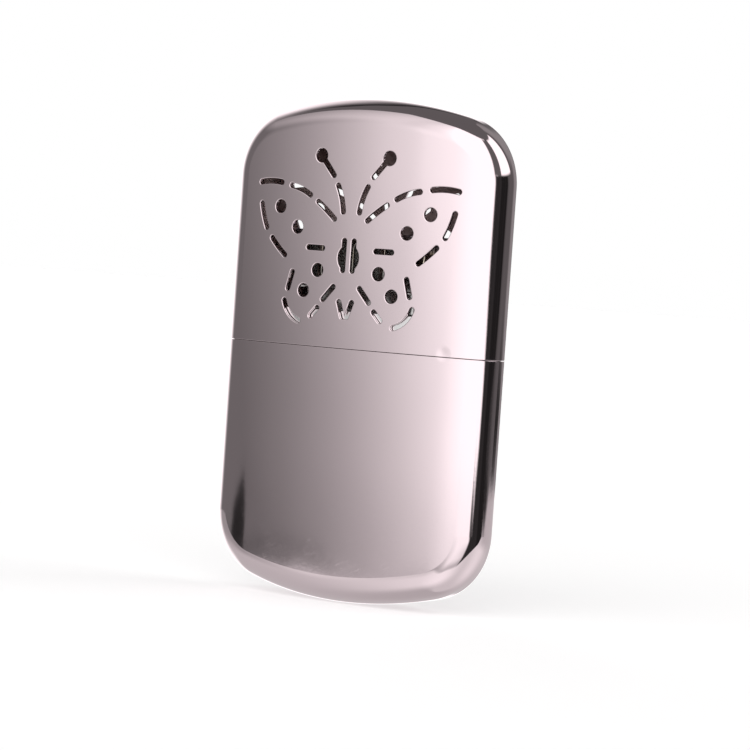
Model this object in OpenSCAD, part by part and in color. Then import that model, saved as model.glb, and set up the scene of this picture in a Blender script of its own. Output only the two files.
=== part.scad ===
// Pocket catalytic hand warmer, in millimetres.
// It stands upright: +Z from the tank's bottom to the cap's top, +X across the
// width, and the front face towards -Y. The origin is under its middle.

/* [Case] */
// Overall height, cap on
case_h = 100; // [92:1:112]
// Overall width
case_w = 63; // [58:1:72]
// Overall thickness at the middle
case_t = 16.5; // [15.5:0.5:20]
// Radius of the round between a face and the edge
edge_r = 5.5; // [4.5:0.1:6]
// Radius of the four corners, seen from the front
corner_r = 14; // [11:1:18]
// Radius of the arched top and bottom, seen from the front
arch_r = 85; // [70:1:130]
// Width of the flat left on the sides between the two rounds
side_flat = 0.3; // [0.2:0.1:0.6]
// Thickness of the drawn sheet of the cap and tank
wall = 0.6; // [0.4:0.05:0.7]
// Height of the seam between tank and cap
seam_z = 50.3; // [47:0.5:56]
// Gap at the seam with the cap on
seam_gap = 0.1; // [0.05:0.05:0.3]

/* [Vents] */
// Span of the butterfly, from wing tip to wing tip
wing_span = 46.6; // [40:0.5:48]
// Height of the butterfly's middle above the seam
vents_up = 17.7; // [16.5:0.1:19]
// Width of the slots
slot_w = 1.05; // [0.8:0.05:1.2]
// Diameter of the round wing spots
spot_d = 2.7; // [2:0.1:3]
// Diameter of the feeler tips
feeler_d = 2.85; // [2:0.05:3.2]
// Half the width of the sheet left between the two body slots
body_web = 0.6; // [0.5:0.05:0.8]

/* [Collar and deck] */
// How far the collar stands above the seam
collar_up = 7.5; // [6:0.5:9]
// How far the collar reaches down into the tank
collar_down = 8; // [6:0.5:12]
// Thickness of the collar's sheet
collar_wall = 0.5; // [0.4:0.05:0.6]
// Clearance between the collar and the cap that slides over it
cap_gap = 0.25; // [0.2:0.05:0.35]
// Clearance of pieces that are soldered or packed into each other
seat_gap = 0.05; // [0.04:0.01:0.1]
// How far the pressed grip ribs stand out of the collar
rib_out = 0.12; // [0.05:0.01:0.14]
// Radius that the grip ribs are pressed with
rib_r = 1.2; // [0.8:0.1:2]
// Distance of the grip ribs from the middle
rib_x = 15; // [10:1:20]
// Depth of the deck below the collar's rim
deck_drop = 1.5; // [1:0.1:2.5]
// Thickness of the deck plate
deck_t = 0.5; // [0.4:0.05:0.7]
// Height of the deck's turned-down rim
deck_rim = 3; // [2:0.5:4]

/* [Filler neck] */
// Width of the oblong neck, outside
neck_w = 29; // [24:0.5:30]
// Thickness of the oblong neck, outside
neck_t = 7.6; // [7:0.1:8.2]
// Thickness of the neck's sheet
neck_wall = 0.45; // [0.35:0.05:0.6]
// How far the neck stands above the deck
neck_up = 5; // [4.6:0.1:7]
// How far the neck reaches below the deck plate
neck_down = 1.5; // [1:0.5:3]
// Width of the flange that lies on the deck
flange_w = 1.2; // [0.8:0.1:1.3]
// Thickness of that flange
flange_t = 0.4; // [0.3:0.05:0.45]

/* [Burner] */
// Clearance between the neck and the burner's skirt
neck_gap = 0.15; // [0.1:0.05:0.2]
// Thickness of the skirt's sheet
skirt_wall = 0.5; // [0.4:0.05:0.6]
// Gap between the neck's flange and the skirt
skirt_lift = 0.3; // [0.2:0.05:0.5]
// Gap between the neck's mouth and the shoulder above it
shoulder_gap = 0.6; // [0.4:0.1:1]
// Width of the bead rolled round the skirt's lower rim
bead_w = 0.35; // [0.2:0.05:0.4]
// Height of that bead
bead_h = 0.9; // [0.6:0.1:1.2]
// Thickness of the burner's shoulder and of the strap on top
frame_t = 0.5; // [0.4:0.05:0.6]
// How far the burner's cage reaches past the neck on each side
cage_over = 1.25; // [1:0.25:2.5]
// Thickness of the cage, front to back
cage_t = 9.6; // [9.4:0.1:10.6]
// Height of the cage
cage_h = 10.6; // [9.6:0.1:13]
// Thickness of the grilles' and end channels' sheet
grille_t = 0.4; // [0.3:0.05:0.5]
// How far the end channels fold over the grilles
fold_w = 2.4; // [2:0.1:3]
// Number of slots in each grille
grille_slots = 7; // [5:1:9]
// Width of a bar between two of those slots
grille_bar = 1.1; // [0.9:0.1:1.5]
// Margin of a grille above and below its slots
grille_margin = 1.5; // [1.2:0.1:2]
// Distance from one wire of the gauze to the next
gauze_pitch = 1.3; // [1.1:0.1:2]
// Thickness of the gauze's wire
gauze_wire = 0.3; // [0.2:0.05:0.35]
// Thickness of the vapour plate
plate_t = 0.4; // [0.3:0.05:0.6]
// Diameter of the holes in the vapour plate
vapour_d = 1.5; // [1:0.1:1.8]
// Distance from one of those holes to the next
vapour_pitch = 2.6; // [2.4:0.1:3.5]
// Clearance between the catalyst mat and the gauzes
mat_gap = 0.2; // [0.1:0.05:0.4]
// Diameter of the rivets
rivet_d = 1.2; // [1:0.1:1.4]
// Diameter of their heads
rivet_head_d = 2.3; // [2:0.1:2.6]
// Height of their heads
rivet_head_h = 0.6; // [0.4:0.1:0.8]
// Clearance of the burner's own pieces in each other
fit_gap = 0.04; // [0.02:0.01:0.06]

/* [Filling] */
// How far the wick felt stands out below the neck
wick_out = 2; // [1:0.5:3]
// Height of each of the two upper cotton pads
pad_h = 14; // [12:0.5:16]
// Clearance between the pads and the sheet round them
pad_gap = 0.15; // [0.1:0.05:0.3]

/* [Hidden] */
$fn = 48;

// The case is a flat core, thicker at its middle, swollen all round by edge_r.
half_w = case_w / 2;
half_h = case_h / 2;
core_x = half_w - edge_r;
core_y = case_t / 2 - edge_r;
core_sag = core_y - side_flat / 2;
core_r = (core_x * core_x + core_sag * core_sag) / (2 * core_sag);

// The outline seen from the front: an arch, a corner and a straight side.
corner_x = half_w - corner_r;
corner_z = half_h - arch_r + sqrt(pow(arch_r - corner_r, 2) - pow(corner_x, 2));
arch_a = asin(corner_x / (arch_r - corner_r));
arch_steps = 8;
corner_steps = 8;
edge_steps = 6;
face_steps = 8;

// Heights, from the bottom up
collar_z = seam_z + collar_up;
deck_z = collar_z - deck_drop;
neck_z = deck_z + neck_up;
skirt_z = deck_z + flange_t + skirt_lift;
shoulder_z = neck_z + shoulder_gap;
cage_z = shoulder_z + frame_t;
cage_top = cage_z + cage_h;
collar_foot = seam_z - collar_down;
neck_foot = deck_z - deck_t - neck_down;
pad_top = neck_foot - wick_out;

// How far each layer swells beyond the core
cap_in = edge_r - wall;
collar_out = cap_in - cap_gap;
collar_in = collar_out - collar_wall;

// The neck and what fits on it
skirt_w = neck_w + 2 * (neck_gap + skirt_wall);
skirt_t = neck_t + 2 * (neck_gap + skirt_wall);
inner_w = neck_w - 2 * neck_wall;
inner_t = neck_t - 2 * neck_wall;

// The layers of the burner's cage, from its middle outwards
cage_w = neck_w + 2 * cage_over;
channel_x = cage_w / 2 - grille_t;
fold_y = cage_t / 2 - grille_t;
grille_y = fold_y - fit_gap - grille_t;
gauze_y = grille_y - fit_gap - gauze_wire;
grille_w = 2 * (channel_x - fit_gap);
grille_h = cage_h - 2 * fit_gap;
slot_pitch = (grille_w - 2 * fold_w) / grille_slots;
gauze_cols = floor((grille_w - gauze_wire) / gauze_pitch);
gauze_rows = floor((grille_h - gauze_wire) / gauze_pitch);
rivet_foot = rivet_head_h / 2;
mat_t = 2 * (gauze_y - mat_gap);
mat_w = 2 * (channel_x - rivet_foot - mat_gap);
tab_w = cage_t / 2;
tab_h = 3.4 * rivet_d;
tab_x = cage_w / 2 + fit_gap;
rivet_low = cage_z + tab_h - rivet_head_d / 2 - fit_gap;
rivet_high = cage_top - tab_h + rivet_head_d / 2 + fit_gap;

// The butterfly is drawn on a grid, from the middle of its body. Each slot runs
// from one point to the next and bulges to its left by the last number.
grid = wing_span / 46.6;
vents_z = seam_z + vents_up;
wing_slots = [
    [[17.8, 14.5], [23.3, 14.4], 0.25],
    [[10.2, 12.3], [15.1, 14.0], 0.25],
    [[3.9, 7.8], [8.1, 11.0], 0.1],
    [[22.8, 10.1], [21.1, 5.4], 0.15],
    [[19.4, 3.3], [15.8, 0.1], 0.1],
    [[6.3, 1.9], [9.8, 1.9], 0],
    [[13.5, -3.2], [14.4, -6.5], 0],
    [[15.1, -9.0], [11.2, -12.8], 0.7],
    [[3.1, -5.6], [5.4, -8.2], 0],
    [[6.7, -10.0], [8.2, -11.6], 0],
    [[1.9, 9.3], [3.5, 14.4], 0.25],
    [[4.7, 16.4], [8.0, 20.2], 0],
    [[1.5, -8.5], [0.5, -11.3], 0]];
wing_spots = [[17.7, 9.7], [12.9, 5.8], [7.2, -2.5], [10.4, -6.7]];
feeler_tip = [8.0, 20.2];
body_top = 3.6;
body_foot = -2.2;
body_swell = 1.35;

steel = [0.78, 0.74, 0.75];
bright = [0.82, 0.82, 0.83];
nickel = [0.72, 0.72, 0.70];

// ---- The case's swollen form ----

// Normal angles of a quarter of the outline, from the top to the side
quarter = concat(
    [for (i = [0:arch_steps]) arch_a * i / arch_steps],
    [for (i = [1:corner_steps]) arch_a + (90 - arch_a) * i / corner_steps]);
quarter_n = len(quarter);

// Point of the core's outline, [x, z], where its normal leans by angle a
function core_point(a) = a <= arch_a
    ? [(arch_r - edge_r) * sin(a), half_h - arch_r + (arch_r - edge_r) * cos(a)]
    : [corner_x + (corner_r - edge_r) * sin(a), corner_z + (corner_r - edge_r) * cos(a)];

// The whole outline as [x, z, normal x, normal z], clockwise seen from the front
function ring_point(a, sx, sz) =
    let (p = core_point(a)) [sx * p[0], sz * p[1], sx * sin(a), sz * cos(a)];
ring = concat(
    [for (i = [0:quarter_n - 1]) ring_point(quarter[i], 1, 1)],
    [for (i = [quarter_n - 1:-1:0]) ring_point(quarter[i], 1, -1)],
    [for (i = [1:quarter_n - 1]) ring_point(quarter[i], -1, -1)],
    [for (i = [quarter_n - 1:-1:1]) ring_point(quarter[i], -1, 1)]);
ring_n = len(ring);

// Half thickness of the core at x
function core_half(x) = core_y - core_r + sqrt(core_r * core_r - x * x);

// Direction between two unit vectors, t from 0 to 1 along their arc
function between(a, b, t) =
    let (w = acos(a * b)) (sin((1 - t) * w) * a + sin(t * w) * b) / sin(w);

// Point on the skin that lies grow outside the core; side is -1 in front, 1 behind
function skin_point(r, t, side, grow) =
    let (
        face = [r[0] / core_r, side * sqrt(1 - pow(r[0] / core_r, 2)), 0],
        dir = between(face, [r[2], 0, r[3]], t))
    [r[0], side * core_half(r[0]), r[1] + half_h] + grow * dir;

// Closed solid of the case's form, its skin lying grow outside the core
module swollen(grow) {
    layers = concat(
        [for (j = [0:edge_steps]) [j / edge_steps, -1]],
        [for (j = [edge_steps:-1:0]) [j / edge_steps, 1]]);
    points = [for (l = layers) for (r = ring) skin_point(r, l[0], l[1], grow)];
    last = (len(layers) - 1) * ring_n;
    round_faces = [for (j = [0:len(layers) - 2]) for (i = [0:ring_n - 1])
        let (a = j * ring_n + i, b = j * ring_n + (i + 1) % ring_n)
        each [[a, a + ring_n, b], [b, a + ring_n, b + ring_n]]];
    // Upright strips join each point of the upper outline to the one below it.
    strips = concat(
        [for (i = [0:quarter_n - 2]) [i, i + 1, 2 * quarter_n - 2 - i, 2 * quarter_n - 1 - i]],
        [for (i = [1:quarter_n - 1])
            [(ring_n - i + 1) % ring_n, 2 * quarter_n - 2 + i, 2 * quarter_n - 1 + i, ring_n - i]]);
    front = [for (s = strips) [s[0], s[1], s[2], s[3]]];
    back = [for (s = strips) [s[3] + last, s[2] + last, s[1] + last, s[0] + last]];
    polyhedron(points, concat(round_faces, front, back), convexity = 4);
}

// Section of the same form where its sides are straight, as a flat shape
module section(grow) {
    quadrant = concat(
        [for (i = [0:face_steps - 1])
            let (x = core_x * i / face_steps, s = x / core_r)
            [x + grow * s, core_half(x) + grow * sqrt(1 - s * s)]],
        [for (j = [0:edge_steps])
            let (
                s = core_x / core_r,
                dir = between([s, sqrt(1 - s * s)], [1, 0], j / edge_steps))
            [core_x, side_flat / 2] + grow * dir]);
    n = len(quadrant);
    polygon(concat(
        quadrant,
        [for (i = [n - 1:-1:0]) [quadrant[i][0], -quadrant[i][1]]],
        [for (i = [1:n - 1]) [-quadrant[i][0], -quadrant[i][1]]],
        [for (i = [n - 1:-1:1]) [-quadrant[i][0], quadrant[i][1]]]));
}

// Upright wall of that section between two heights
module sleeve(z0, z1, outer, inner) {
    translate([0, 0, z0]) linear_extrude(z1 - z0) difference() {
        section(outer);
        section(inner);
    }
}

module half_space(z0, up) {
    translate([-case_w, -case_t, up ? z0 : z0 - case_h])
        cube([2 * case_w, 2 * case_t, case_h]);
}

// Sheet-metal case, before it is cut into tank and cap
module case_sheet() {
    difference() {
        swollen(edge_r);
        swollen(cap_in);
    }
}

// ---- The vents ----

// Slot of width w from a to b whose middle line bulges to the left by sag
module slot(a, b, sag, w) {
    chord = norm(b - a);
    along = (b - a) / chord;
    left = [-along[1], along[0]];
    if (sag == 0) {
        translate((a + b) / 2) rotate(atan2(along[1], along[0]))
            square([chord, w], center = true);
    } else {
        r = (chord * chord / 4 + sag * sag) / (2 * sag);
        centre = (a + b) / 2 - left * (r - sag);
        reach = 2 * r / norm((a + b) / 2 - centre);
        intersection() {
            translate(centre) difference() {
                circle(r + w / 2, $fn = 180);
                circle(r - w / 2, $fn = 180);
            }
            polygon([centre, centre + 2 * (b - centre), centre + reach * left * r,
                centre + 2 * (a - centre)]);
        }
    }
    for (p = [a, b]) translate(p) circle(d = w, $fn = 24);
}

// One half of the butterfly's body: a slot that swells into the abdomen
module body_slot() {
    x = (body_web + slot_w / 2);
    low = [x, body_foot * grid];
    high = [x, body_top * grid];
    swell_h = (body_top - body_foot) * grid * 0.42;
    r = (pow(swell_h, 2) + pow(body_swell * grid, 2)) / (2 * body_swell * grid);
    slot(low, high, 0, slot_w);
    intersection() {
        translate([x + body_swell * grid - r, low[1] + swell_h]) circle(r, $fn = 96);
        translate([x, low[1] - slot_w]) square([slot_w + body_swell, 2 * swell_h + 2 * slot_w]);
    }
}

module half_butterfly() {
    for (s = wing_slots) slot(s[0] * grid, s[1] * grid, s[2] * grid, slot_w);
    for (p = wing_spots) translate(p * grid) circle(d = spot_d);
    translate(feeler_tip * grid) circle(d = feeler_d);
    body_slot();
}

module butterfly_cut() {
    translate([0, 0, vents_z]) rotate([90, 0, 0])
        linear_extrude(2 * case_t, center = true) {
            half_butterfly();
            mirror([1, 0]) half_butterfly();
        }
}

// ---- Case ----

module cap_shell() {
    color(steel) difference() {
        case_sheet();
        half_space(seam_z + seam_gap, false);
        butterfly_cut();
    }
}

module tank_shell() {
    color(steel) difference() {
        case_sheet();
        half_space(seam_z, true);
    }
}

// Stepped sleeve soldered in the tank's mouth; the cap slides over its upper part
module collar_sleeve() {
    tank_fit = cap_in - seat_gap;
    color(bright) {
        sleeve(collar_foot, seam_z, tank_fit, tank_fit - collar_wall);
        sleeve(seam_z - collar_wall, collar_z, collar_out, collar_in);
        for (sx = [-1, 1], sy = [-1, 1]) grip_rib(sx * rib_x, sy);
    }
}

// Upright rib pressed out of the collar's face at x
module grip_rib(x, side) {
    s = x / core_r;
    skin_y = core_half(x) + collar_out * sqrt(1 - s * s);
    length = collar_up - deck_drop - 2 * rib_r;
    translate([x * (1 + collar_out / core_r), side * (skin_y + rib_out - rib_r), seam_z + rib_r])
        intersection() {
            cylinder(h = length, r = rib_r, $fn = 32);
            translate([-rib_r, side > 0 ? rib_r - rib_out - collar_wall / 2 : -rib_r, 0])
                cube([2 * rib_r, rib_out + collar_wall / 2, length]);
        }
}

// Closing plate with a turned-down rim
module deck_plate() {
    fit = collar_in - seat_gap;
    color(bright) {
        translate([0, 0, deck_z - deck_t]) linear_extrude(deck_t) difference() {
            section(fit);
            oblong(neck_w + 2 * fit_gap, neck_t + 2 * fit_gap);
        }
        sleeve(deck_z - deck_rim, deck_z - deck_t, fit, fit - deck_t);
    }
}

// Flat shape with two straight sides and round ends
module oblong(w, t) {
    square([w - t, t], center = true);
    for (s = [-1, 1]) translate([s * (w - t) / 2, 0]) circle(d = t, $fn = 64);
}

module oblong_tube(z0, z1, w, t, thick) {
    translate([0, 0, z0]) linear_extrude(z1 - z0) difference() {
        oblong(w, t);
        oblong(w - 2 * thick, t - 2 * thick);
    }
}

module filler_neck() {
    color(bright) {
        oblong_tube(neck_foot, neck_z, neck_w, neck_t, neck_wall);
        oblong_tube(deck_z, deck_z + flange_t, neck_w + 2 * flange_w, neck_t + 2 * flange_w,
            flange_w + neck_wall);
    }
}

// ---- Filling ----

module wick_felt() {
    color("ivory") translate([0, 0, pad_top + seat_gap])
        linear_extrude(deck_z - pad_top - seat_gap)
            oblong(inner_w - 2 * pad_gap, inner_t - 2 * pad_gap);
}

module wadding_upper() {
    color("white") translate([0, 0, pad_top - pad_h]) linear_extrude(pad_h)
        section(collar_in - pad_gap);
}

module wadding_middle() {
    color("snow") translate([0, 0, pad_top - 2 * pad_h - pad_gap]) linear_extrude(pad_h)
        section(cap_in - pad_gap);
}

module wadding_lower() {
    color("white") difference() {
        swollen(cap_in - pad_gap);
        half_space(pad_top - 2 * pad_h - 2 * pad_gap, true);
    }
}

// ---- Burner ----

// Push-on sleeve with a shoulder and two ears for the lower rivets
module burner_skirt() {
    color(nickel) {
        oblong_tube(skirt_z, shoulder_z + frame_t, skirt_w, skirt_t, skirt_wall);
        oblong_tube(skirt_z, skirt_z + bead_h, skirt_w + 2 * bead_w, skirt_t + 2 * bead_w,
            bead_w + skirt_wall);
        translate([0, 0, shoulder_z]) linear_extrude(frame_t) difference() {
            square([2 * (tab_x + frame_t), cage_t], center = true);
            oblong(inner_w - 2 * skirt_wall, inner_t - 2 * skirt_wall);
        }
        for (s = [-1, 1]) ear(s, cage_z, cage_z + tab_h - fit_gap, rivet_low);
    }
}

// Upright ear outside an end channel, with a rivet hole
module ear(side, z0, z1, hole_z) {
    difference() {
        translate([side > 0 ? tab_x : -tab_x - frame_t, -tab_w / 2, z0])
            cube([frame_t, tab_w, z1 - z0]);
        rivet_hole(side, hole_z);
    }
}

module rivet_hole(side, z) {
    translate([side * cage_w / 2, 0, z]) rotate([0, 90, 0])
        cylinder(h = 6 * frame_t, d = rivet_d + 2 * fit_gap, center = true, $fn = 32);
}

// Perforated plate under the catalyst
module vapour_plate() {
    w = grille_w - 2 * fit_gap;
    t = 2 * (gauze_y - fit_gap);
    cols = floor((inner_w - inner_t) / vapour_pitch / 2);
    color(bright) translate([0, 0, cage_z]) linear_extrude(plate_t) difference() {
        square([w, t], center = true);
        for (i = [-cols:cols], j = [-0.5, 0.5])
            translate([i, j] * vapour_pitch) circle(d = vapour_d, $fn = 24);
    }
}

// Folded end piece that holds both grilles by their edges
module end_channel(side) {
    color(nickel) difference() {
        mirror([side < 0 ? 1 : 0, 0, 0]) translate([0, 0, cage_z]) linear_extrude(cage_h) {
            translate([channel_x, -cage_t / 2]) square([grille_t, cage_t]);
            for (s = [-1, 1]) translate([channel_x - fold_w + grille_t, s > 0 ? fold_y : -cage_t / 2])
                square([fold_w, grille_t]);
        }
        rivet_hole(side, rivet_low);
        rivet_hole(side, rivet_high);
    }
}

module end_channel_left() end_channel(-1);

module end_channel_right() end_channel(1);

// Stamped grille: a row of upright slots with round ends
module grille(side) {
    slot_h = grille_h - 2 * grille_margin;
    y = side > 0 ? grille_y : -grille_y - grille_t;
    color(nickel) translate([0, y + grille_t, cage_z + fit_gap]) rotate([90, 0, 0])
        linear_extrude(grille_t) difference() {
            translate([-grille_w / 2, 0]) square([grille_w, grille_h]);
            for (i = [0:grille_slots - 1])
                translate([(i - (grille_slots - 1) / 2) * slot_pitch, grille_h / 2]) rotate(90)
                    oblong(slot_h, slot_pitch - grille_bar);
        }
}

module cage_front() grille(-1);

module cage_back() grille(1);

// Wire gauze as a flat net
module gauze(side) {
    y = side > 0 ? gauze_y : -gauze_y - gauze_wire;
    gap = gauze_pitch - gauze_wire;
    color("dimgray") translate([0, y + gauze_wire, cage_z + cage_h / 2]) rotate([90, 0, 0])
        linear_extrude(gauze_wire) difference() {
            square([grille_w, grille_h], center = true);
            for (i = [0:gauze_cols - 1], j = [0:gauze_rows - 1])
                translate([i - (gauze_cols - 1) / 2, j - (gauze_rows - 1) / 2] * gauze_pitch)
                    square(gap, center = true);
        }
}

module gauze_front() gauze(-1);

module gauze_back() gauze(1);

// Glass-fibre mat between the two gauzes
module catalyst_mat() {
    base = cage_z + plate_t + fit_gap;
    color("lightgray") translate([0, 0, base]) linear_extrude(cage_top - base - fit_gap)
        oblong(mat_w, mat_t);
}

// Folded strap that closes the cage: a slotted top, two lips and two end tabs
module top_strap() {
    lip_h = grille_margin / 2 + frame_t;
    lip_y = cage_t / 2 + fit_gap;
    vent_w = slot_pitch - grille_bar;
    color(nickel) {
        translate([0, 0, cage_top]) linear_extrude(frame_t) difference() {
            square([2 * (tab_x + frame_t), 2 * (lip_y + frame_t)], center = true);
            for (i = [0:grille_slots - 1])
                translate([(i - (grille_slots - 1) / 2) * slot_pitch, 0]) rotate(90)
                    oblong(mat_t, vent_w);
        }
        for (s = [-1, 1]) translate([-cage_w / 2, s > 0 ? lip_y : -lip_y - frame_t, cage_top - lip_h])
            cube([cage_w, frame_t, lip_h]);
        for (s = [-1, 1]) ear(s, cage_top - tab_h + fit_gap, cage_top, rivet_high);
    }
}

// Domed rivet through an ear and an end channel
module rivet(side, z) {
    grip = frame_t + grille_t + fit_gap;
    translate([side * (tab_x + frame_t), 0, z]) rotate([0, side * 90, 0]) {
        rotate_extrude($fn = 32) rivet_profile();
        translate([0, 0, -grip - rivet_foot])
            cylinder(h = grip + rivet_foot + rivet_head_h / 2, d = rivet_d, $fn = 32);
        translate([0, 0, -grip - rivet_foot])
            cylinder(h = rivet_foot - fit_gap, d = rivet_head_d, $fn = 32);
    }
}

// Half outline of a rivet's outer head
module rivet_profile() {
    r = rivet_head_d / 2;
    dome_r = (r * r + rivet_head_h * rivet_head_h) / (2 * rivet_head_h);
    intersection() {
        translate([0, rivet_head_h - dome_r]) circle(dome_r, $fn = 64);
        translate([0, fit_gap]) square([r, rivet_head_h]);
    }
}

module cage_rivets() {
    color("silver") for (s = [-1, 1], z = [rivet_low, rivet_high]) rivet(s, z);
}

cap_shell();
tank_shell();
collar_sleeve();
deck_plate();
filler_neck();
wick_felt();
wadding_upper();
wadding_middle();
wadding_lower();
burner_skirt();
vapour_plate();
end_channel_left();
end_channel_right();
cage_front();
cage_back();
gauze_front();
gauze_back();
catalyst_mat();
top_strap();
cage_rivets();
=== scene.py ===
"""Looks of a pocket catalytic hand warmer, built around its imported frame.

Lengths are in metres. +Z runs up from the tank's bottom, +X across the width,
and the front face looks towards -Y.
"""

import math

import bpy
import numpy as np
from mathutils import Matrix, Vector, noise
from mathutils.geometry import delaunay_2d_cdt


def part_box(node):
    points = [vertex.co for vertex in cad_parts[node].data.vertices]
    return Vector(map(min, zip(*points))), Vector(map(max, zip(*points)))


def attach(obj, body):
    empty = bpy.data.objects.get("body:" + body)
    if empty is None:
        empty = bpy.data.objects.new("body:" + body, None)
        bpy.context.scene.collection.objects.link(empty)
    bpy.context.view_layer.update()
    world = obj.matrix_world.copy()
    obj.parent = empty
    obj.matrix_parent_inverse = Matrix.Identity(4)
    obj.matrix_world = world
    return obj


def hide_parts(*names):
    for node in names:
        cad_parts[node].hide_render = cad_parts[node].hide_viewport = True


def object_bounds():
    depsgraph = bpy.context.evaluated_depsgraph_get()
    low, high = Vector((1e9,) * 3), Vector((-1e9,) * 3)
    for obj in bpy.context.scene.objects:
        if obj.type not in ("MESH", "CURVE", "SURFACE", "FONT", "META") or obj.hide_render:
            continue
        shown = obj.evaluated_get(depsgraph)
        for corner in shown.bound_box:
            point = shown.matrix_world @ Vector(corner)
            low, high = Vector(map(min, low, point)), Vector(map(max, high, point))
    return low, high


bl_info = {
    "name": "Catalytic Hand Warmer",
    "version": (1, 0, 0),
    "blender": (4, 5, 0),
    "location": "View3D > Sidebar > Warmer",
    "description": "Builds the looks of a pocket catalytic hand warmer around its frame",
    "category": "Add Mesh",
}

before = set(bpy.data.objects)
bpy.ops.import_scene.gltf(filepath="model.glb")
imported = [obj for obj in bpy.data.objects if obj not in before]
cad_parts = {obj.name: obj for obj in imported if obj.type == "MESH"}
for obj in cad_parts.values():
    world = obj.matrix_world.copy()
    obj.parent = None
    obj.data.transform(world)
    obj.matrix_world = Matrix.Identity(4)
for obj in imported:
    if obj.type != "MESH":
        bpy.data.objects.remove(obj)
CAD_LOW, CAD_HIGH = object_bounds()
MM = 0.001


# ---- Sizes that come from the frame ----


def top_of(node):
    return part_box(node)[1].z


def foot_of(node):
    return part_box(node)[0].z


def half_width_of(node):
    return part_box(node)[1].x


def half_depth_of(node):
    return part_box(node)[1].y


def length(name, description, default):
    """A size that the sidebar shows in the scene's unit of length."""
    return bpy.props.FloatProperty(
        name=name, description=description, default=default, unit="LENGTH", precision=5,
    )


class CaseSizes(bpy.types.PropertyGroup):
    """Sizes of the swollen form that tank and cap share."""

    height: length("Height", "Overall height, cap on", CAD_HIGH.z - CAD_LOW.z)
    half_width: length("Half width", "From the middle to the side", CAD_HIGH.x)
    half_depth: length("Half depth", "From the middle to the crown of a face", CAD_HIGH.y)
    edge_r: length("Edge radius", "Round between a face and the edge", 5.5 * MM)
    corner_r: length("Corner radius", "Round of the four corners, from the front", 14 * MM)
    arch_r: length("Arch radius", "Round of the top and bottom, from the front", 85 * MM)
    side_flat: length("Side flat", "Flat left on the sides between two rounds", 0.3 * MM)
    wall: length("Wall", "Thickness of the drawn sheet", 0.6 * MM)
    rim_round: length("Rim rounding", "Rounding of the two rims at the seam", 0.08 * MM)


class VentSizes(bpy.types.PropertyGroup):
    """Sizes of the butterfly that is cut through both faces of the cap."""

    span: length("Span", "From wing tip to wing tip", 46.6 * MM)
    above_seam: length("Above the seam", "Height of its middle above the seam", 17.7 * MM)
    slot: length("Slot width", "Width of the slots", 1.05 * MM)
    spot: length("Spot diameter", "Diameter of the round wing spots", 2.7 * MM)
    feeler: length("Feeler diameter", "Diameter of the feeler tips", 2.85 * MM)
    web: length("Body web", "Half the sheet left between the body slots", 0.6 * MM)
    lip: length("Lip", "Rounding of the vents' outer edges", 0.2 * MM)


class TankSizes(bpy.types.PropertyGroup):
    """Sizes of the sheet-metal pieces in the tank's mouth."""

    collar_wall: length("Collar wall", "Thickness of the collar's sheet", 0.5 * MM)
    collar_step: length("Collar step", "How much the collar steps in above the seam", 0.2 * MM)
    rib_out: length("Rib", "How far the grip ribs stand out of the collar", 0.12 * MM)
    rib_x: length("Rib place", "Distance of the grip ribs from the middle", 15 * MM)
    rib_w: length("Rib width", "Half width of a grip rib", 0.6 * MM)
    deck_wall: length("Deck wall", "Thickness of the deck plate", 0.5 * MM)
    neck_wall: length("Neck wall", "Thickness of the neck's sheet", 0.45 * MM)
    flange: length("Flange", "Width of the neck's flange on the deck", 1.2 * MM)
    flange_t: length("Flange thickness", "Thickness of the neck's flange", 0.4 * MM)


class BurnerSizes(bpy.types.PropertyGroup):
    """Sizes of the push-on burner's stamped pieces."""

    skirt_wall: length("Skirt wall", "Thickness of the skirt's sheet", 0.5 * MM)
    bead_w: length("Bead width", "How far the bead stands out of the skirt", 0.35 * MM)
    bead_h: length("Bead height", "Height of the bead round the skirt's foot", 0.9 * MM)
    sheet: length("Sheet", "Thickness of the end channels and grilles", 0.4 * MM)
    fold: length("Fold", "How far an end channel folds over a grille", 2.4 * MM)
    bar: length("Bar", "Width of a bar between two slots of a grille", 1.1 * MM)
    margin: length("Margin", "Sheet above and below the slots of a grille", 1.5 * MM)
    vapour_hole: length("Vapour hole", "Diameter of the vapour plate's holes", 1.5 * MM)
    vapour_pitch: length("Vapour pitch", "From one of those holes to the next", 2.6 * MM)
    rivet: length("Rivet", "Diameter of the rivets' shanks", 1.2 * MM)
    mesh: length("Mesh", "From one wire of the gauze to the next", 0.75 * MM)
    slots: bpy.props.IntProperty(name="Slots", description="Slots in each grille", default=7)


def colour(name, description, *default):
    return bpy.props.FloatVectorProperty(
        name=name, description=description, default=default, subtype="COLOR", min=0, max=1,
    )


class FinishColours(bpy.types.PropertyGroup):
    """Colours of the finishes where they are clean."""

    case: colour("Case", "Plating of cap and tank", 0.79, 0.665, 0.695)
    # The inside colour is painted shade: a brown darkened for the inside of the closed case.
    inside: colour("Inside", "Dull inner skin of cap and tank", 0.66, 0.53, 0.52)
    mouth: colour("Mouth", "Plating of collar, deck and neck", 0.83, 0.82, 0.82)
    burner: colour("Burner", "Plating of the burner's stampings", 0.6, 0.595, 0.585)
    straw: colour("Straw", "Tint of the burner where it gets hot", 0.5, 0.42, 0.32)
    blue: colour("Blue", "Tint of the burner where it gets hottest", 0.36, 0.36, 0.5)
    rivets: colour("Rivets", "Soft metal of the rivets", 0.8, 0.79, 0.78)
    # The gauze colour is kept dark as painted shade of the burner's inside.
    gauze: colour("Gauze", "Wire of the gauzes", 0.3, 0.275, 0.255)
    catalyst: colour("Catalyst", "Glass-fibre mat", 0.66, 0.65, 0.63)
    felt: colour("Felt", "Felt pad", 0.86, 0.83, 0.75)
    cotton: colour("Cotton", "Cotton pads", 0.93, 0.92, 0.89)


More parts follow.
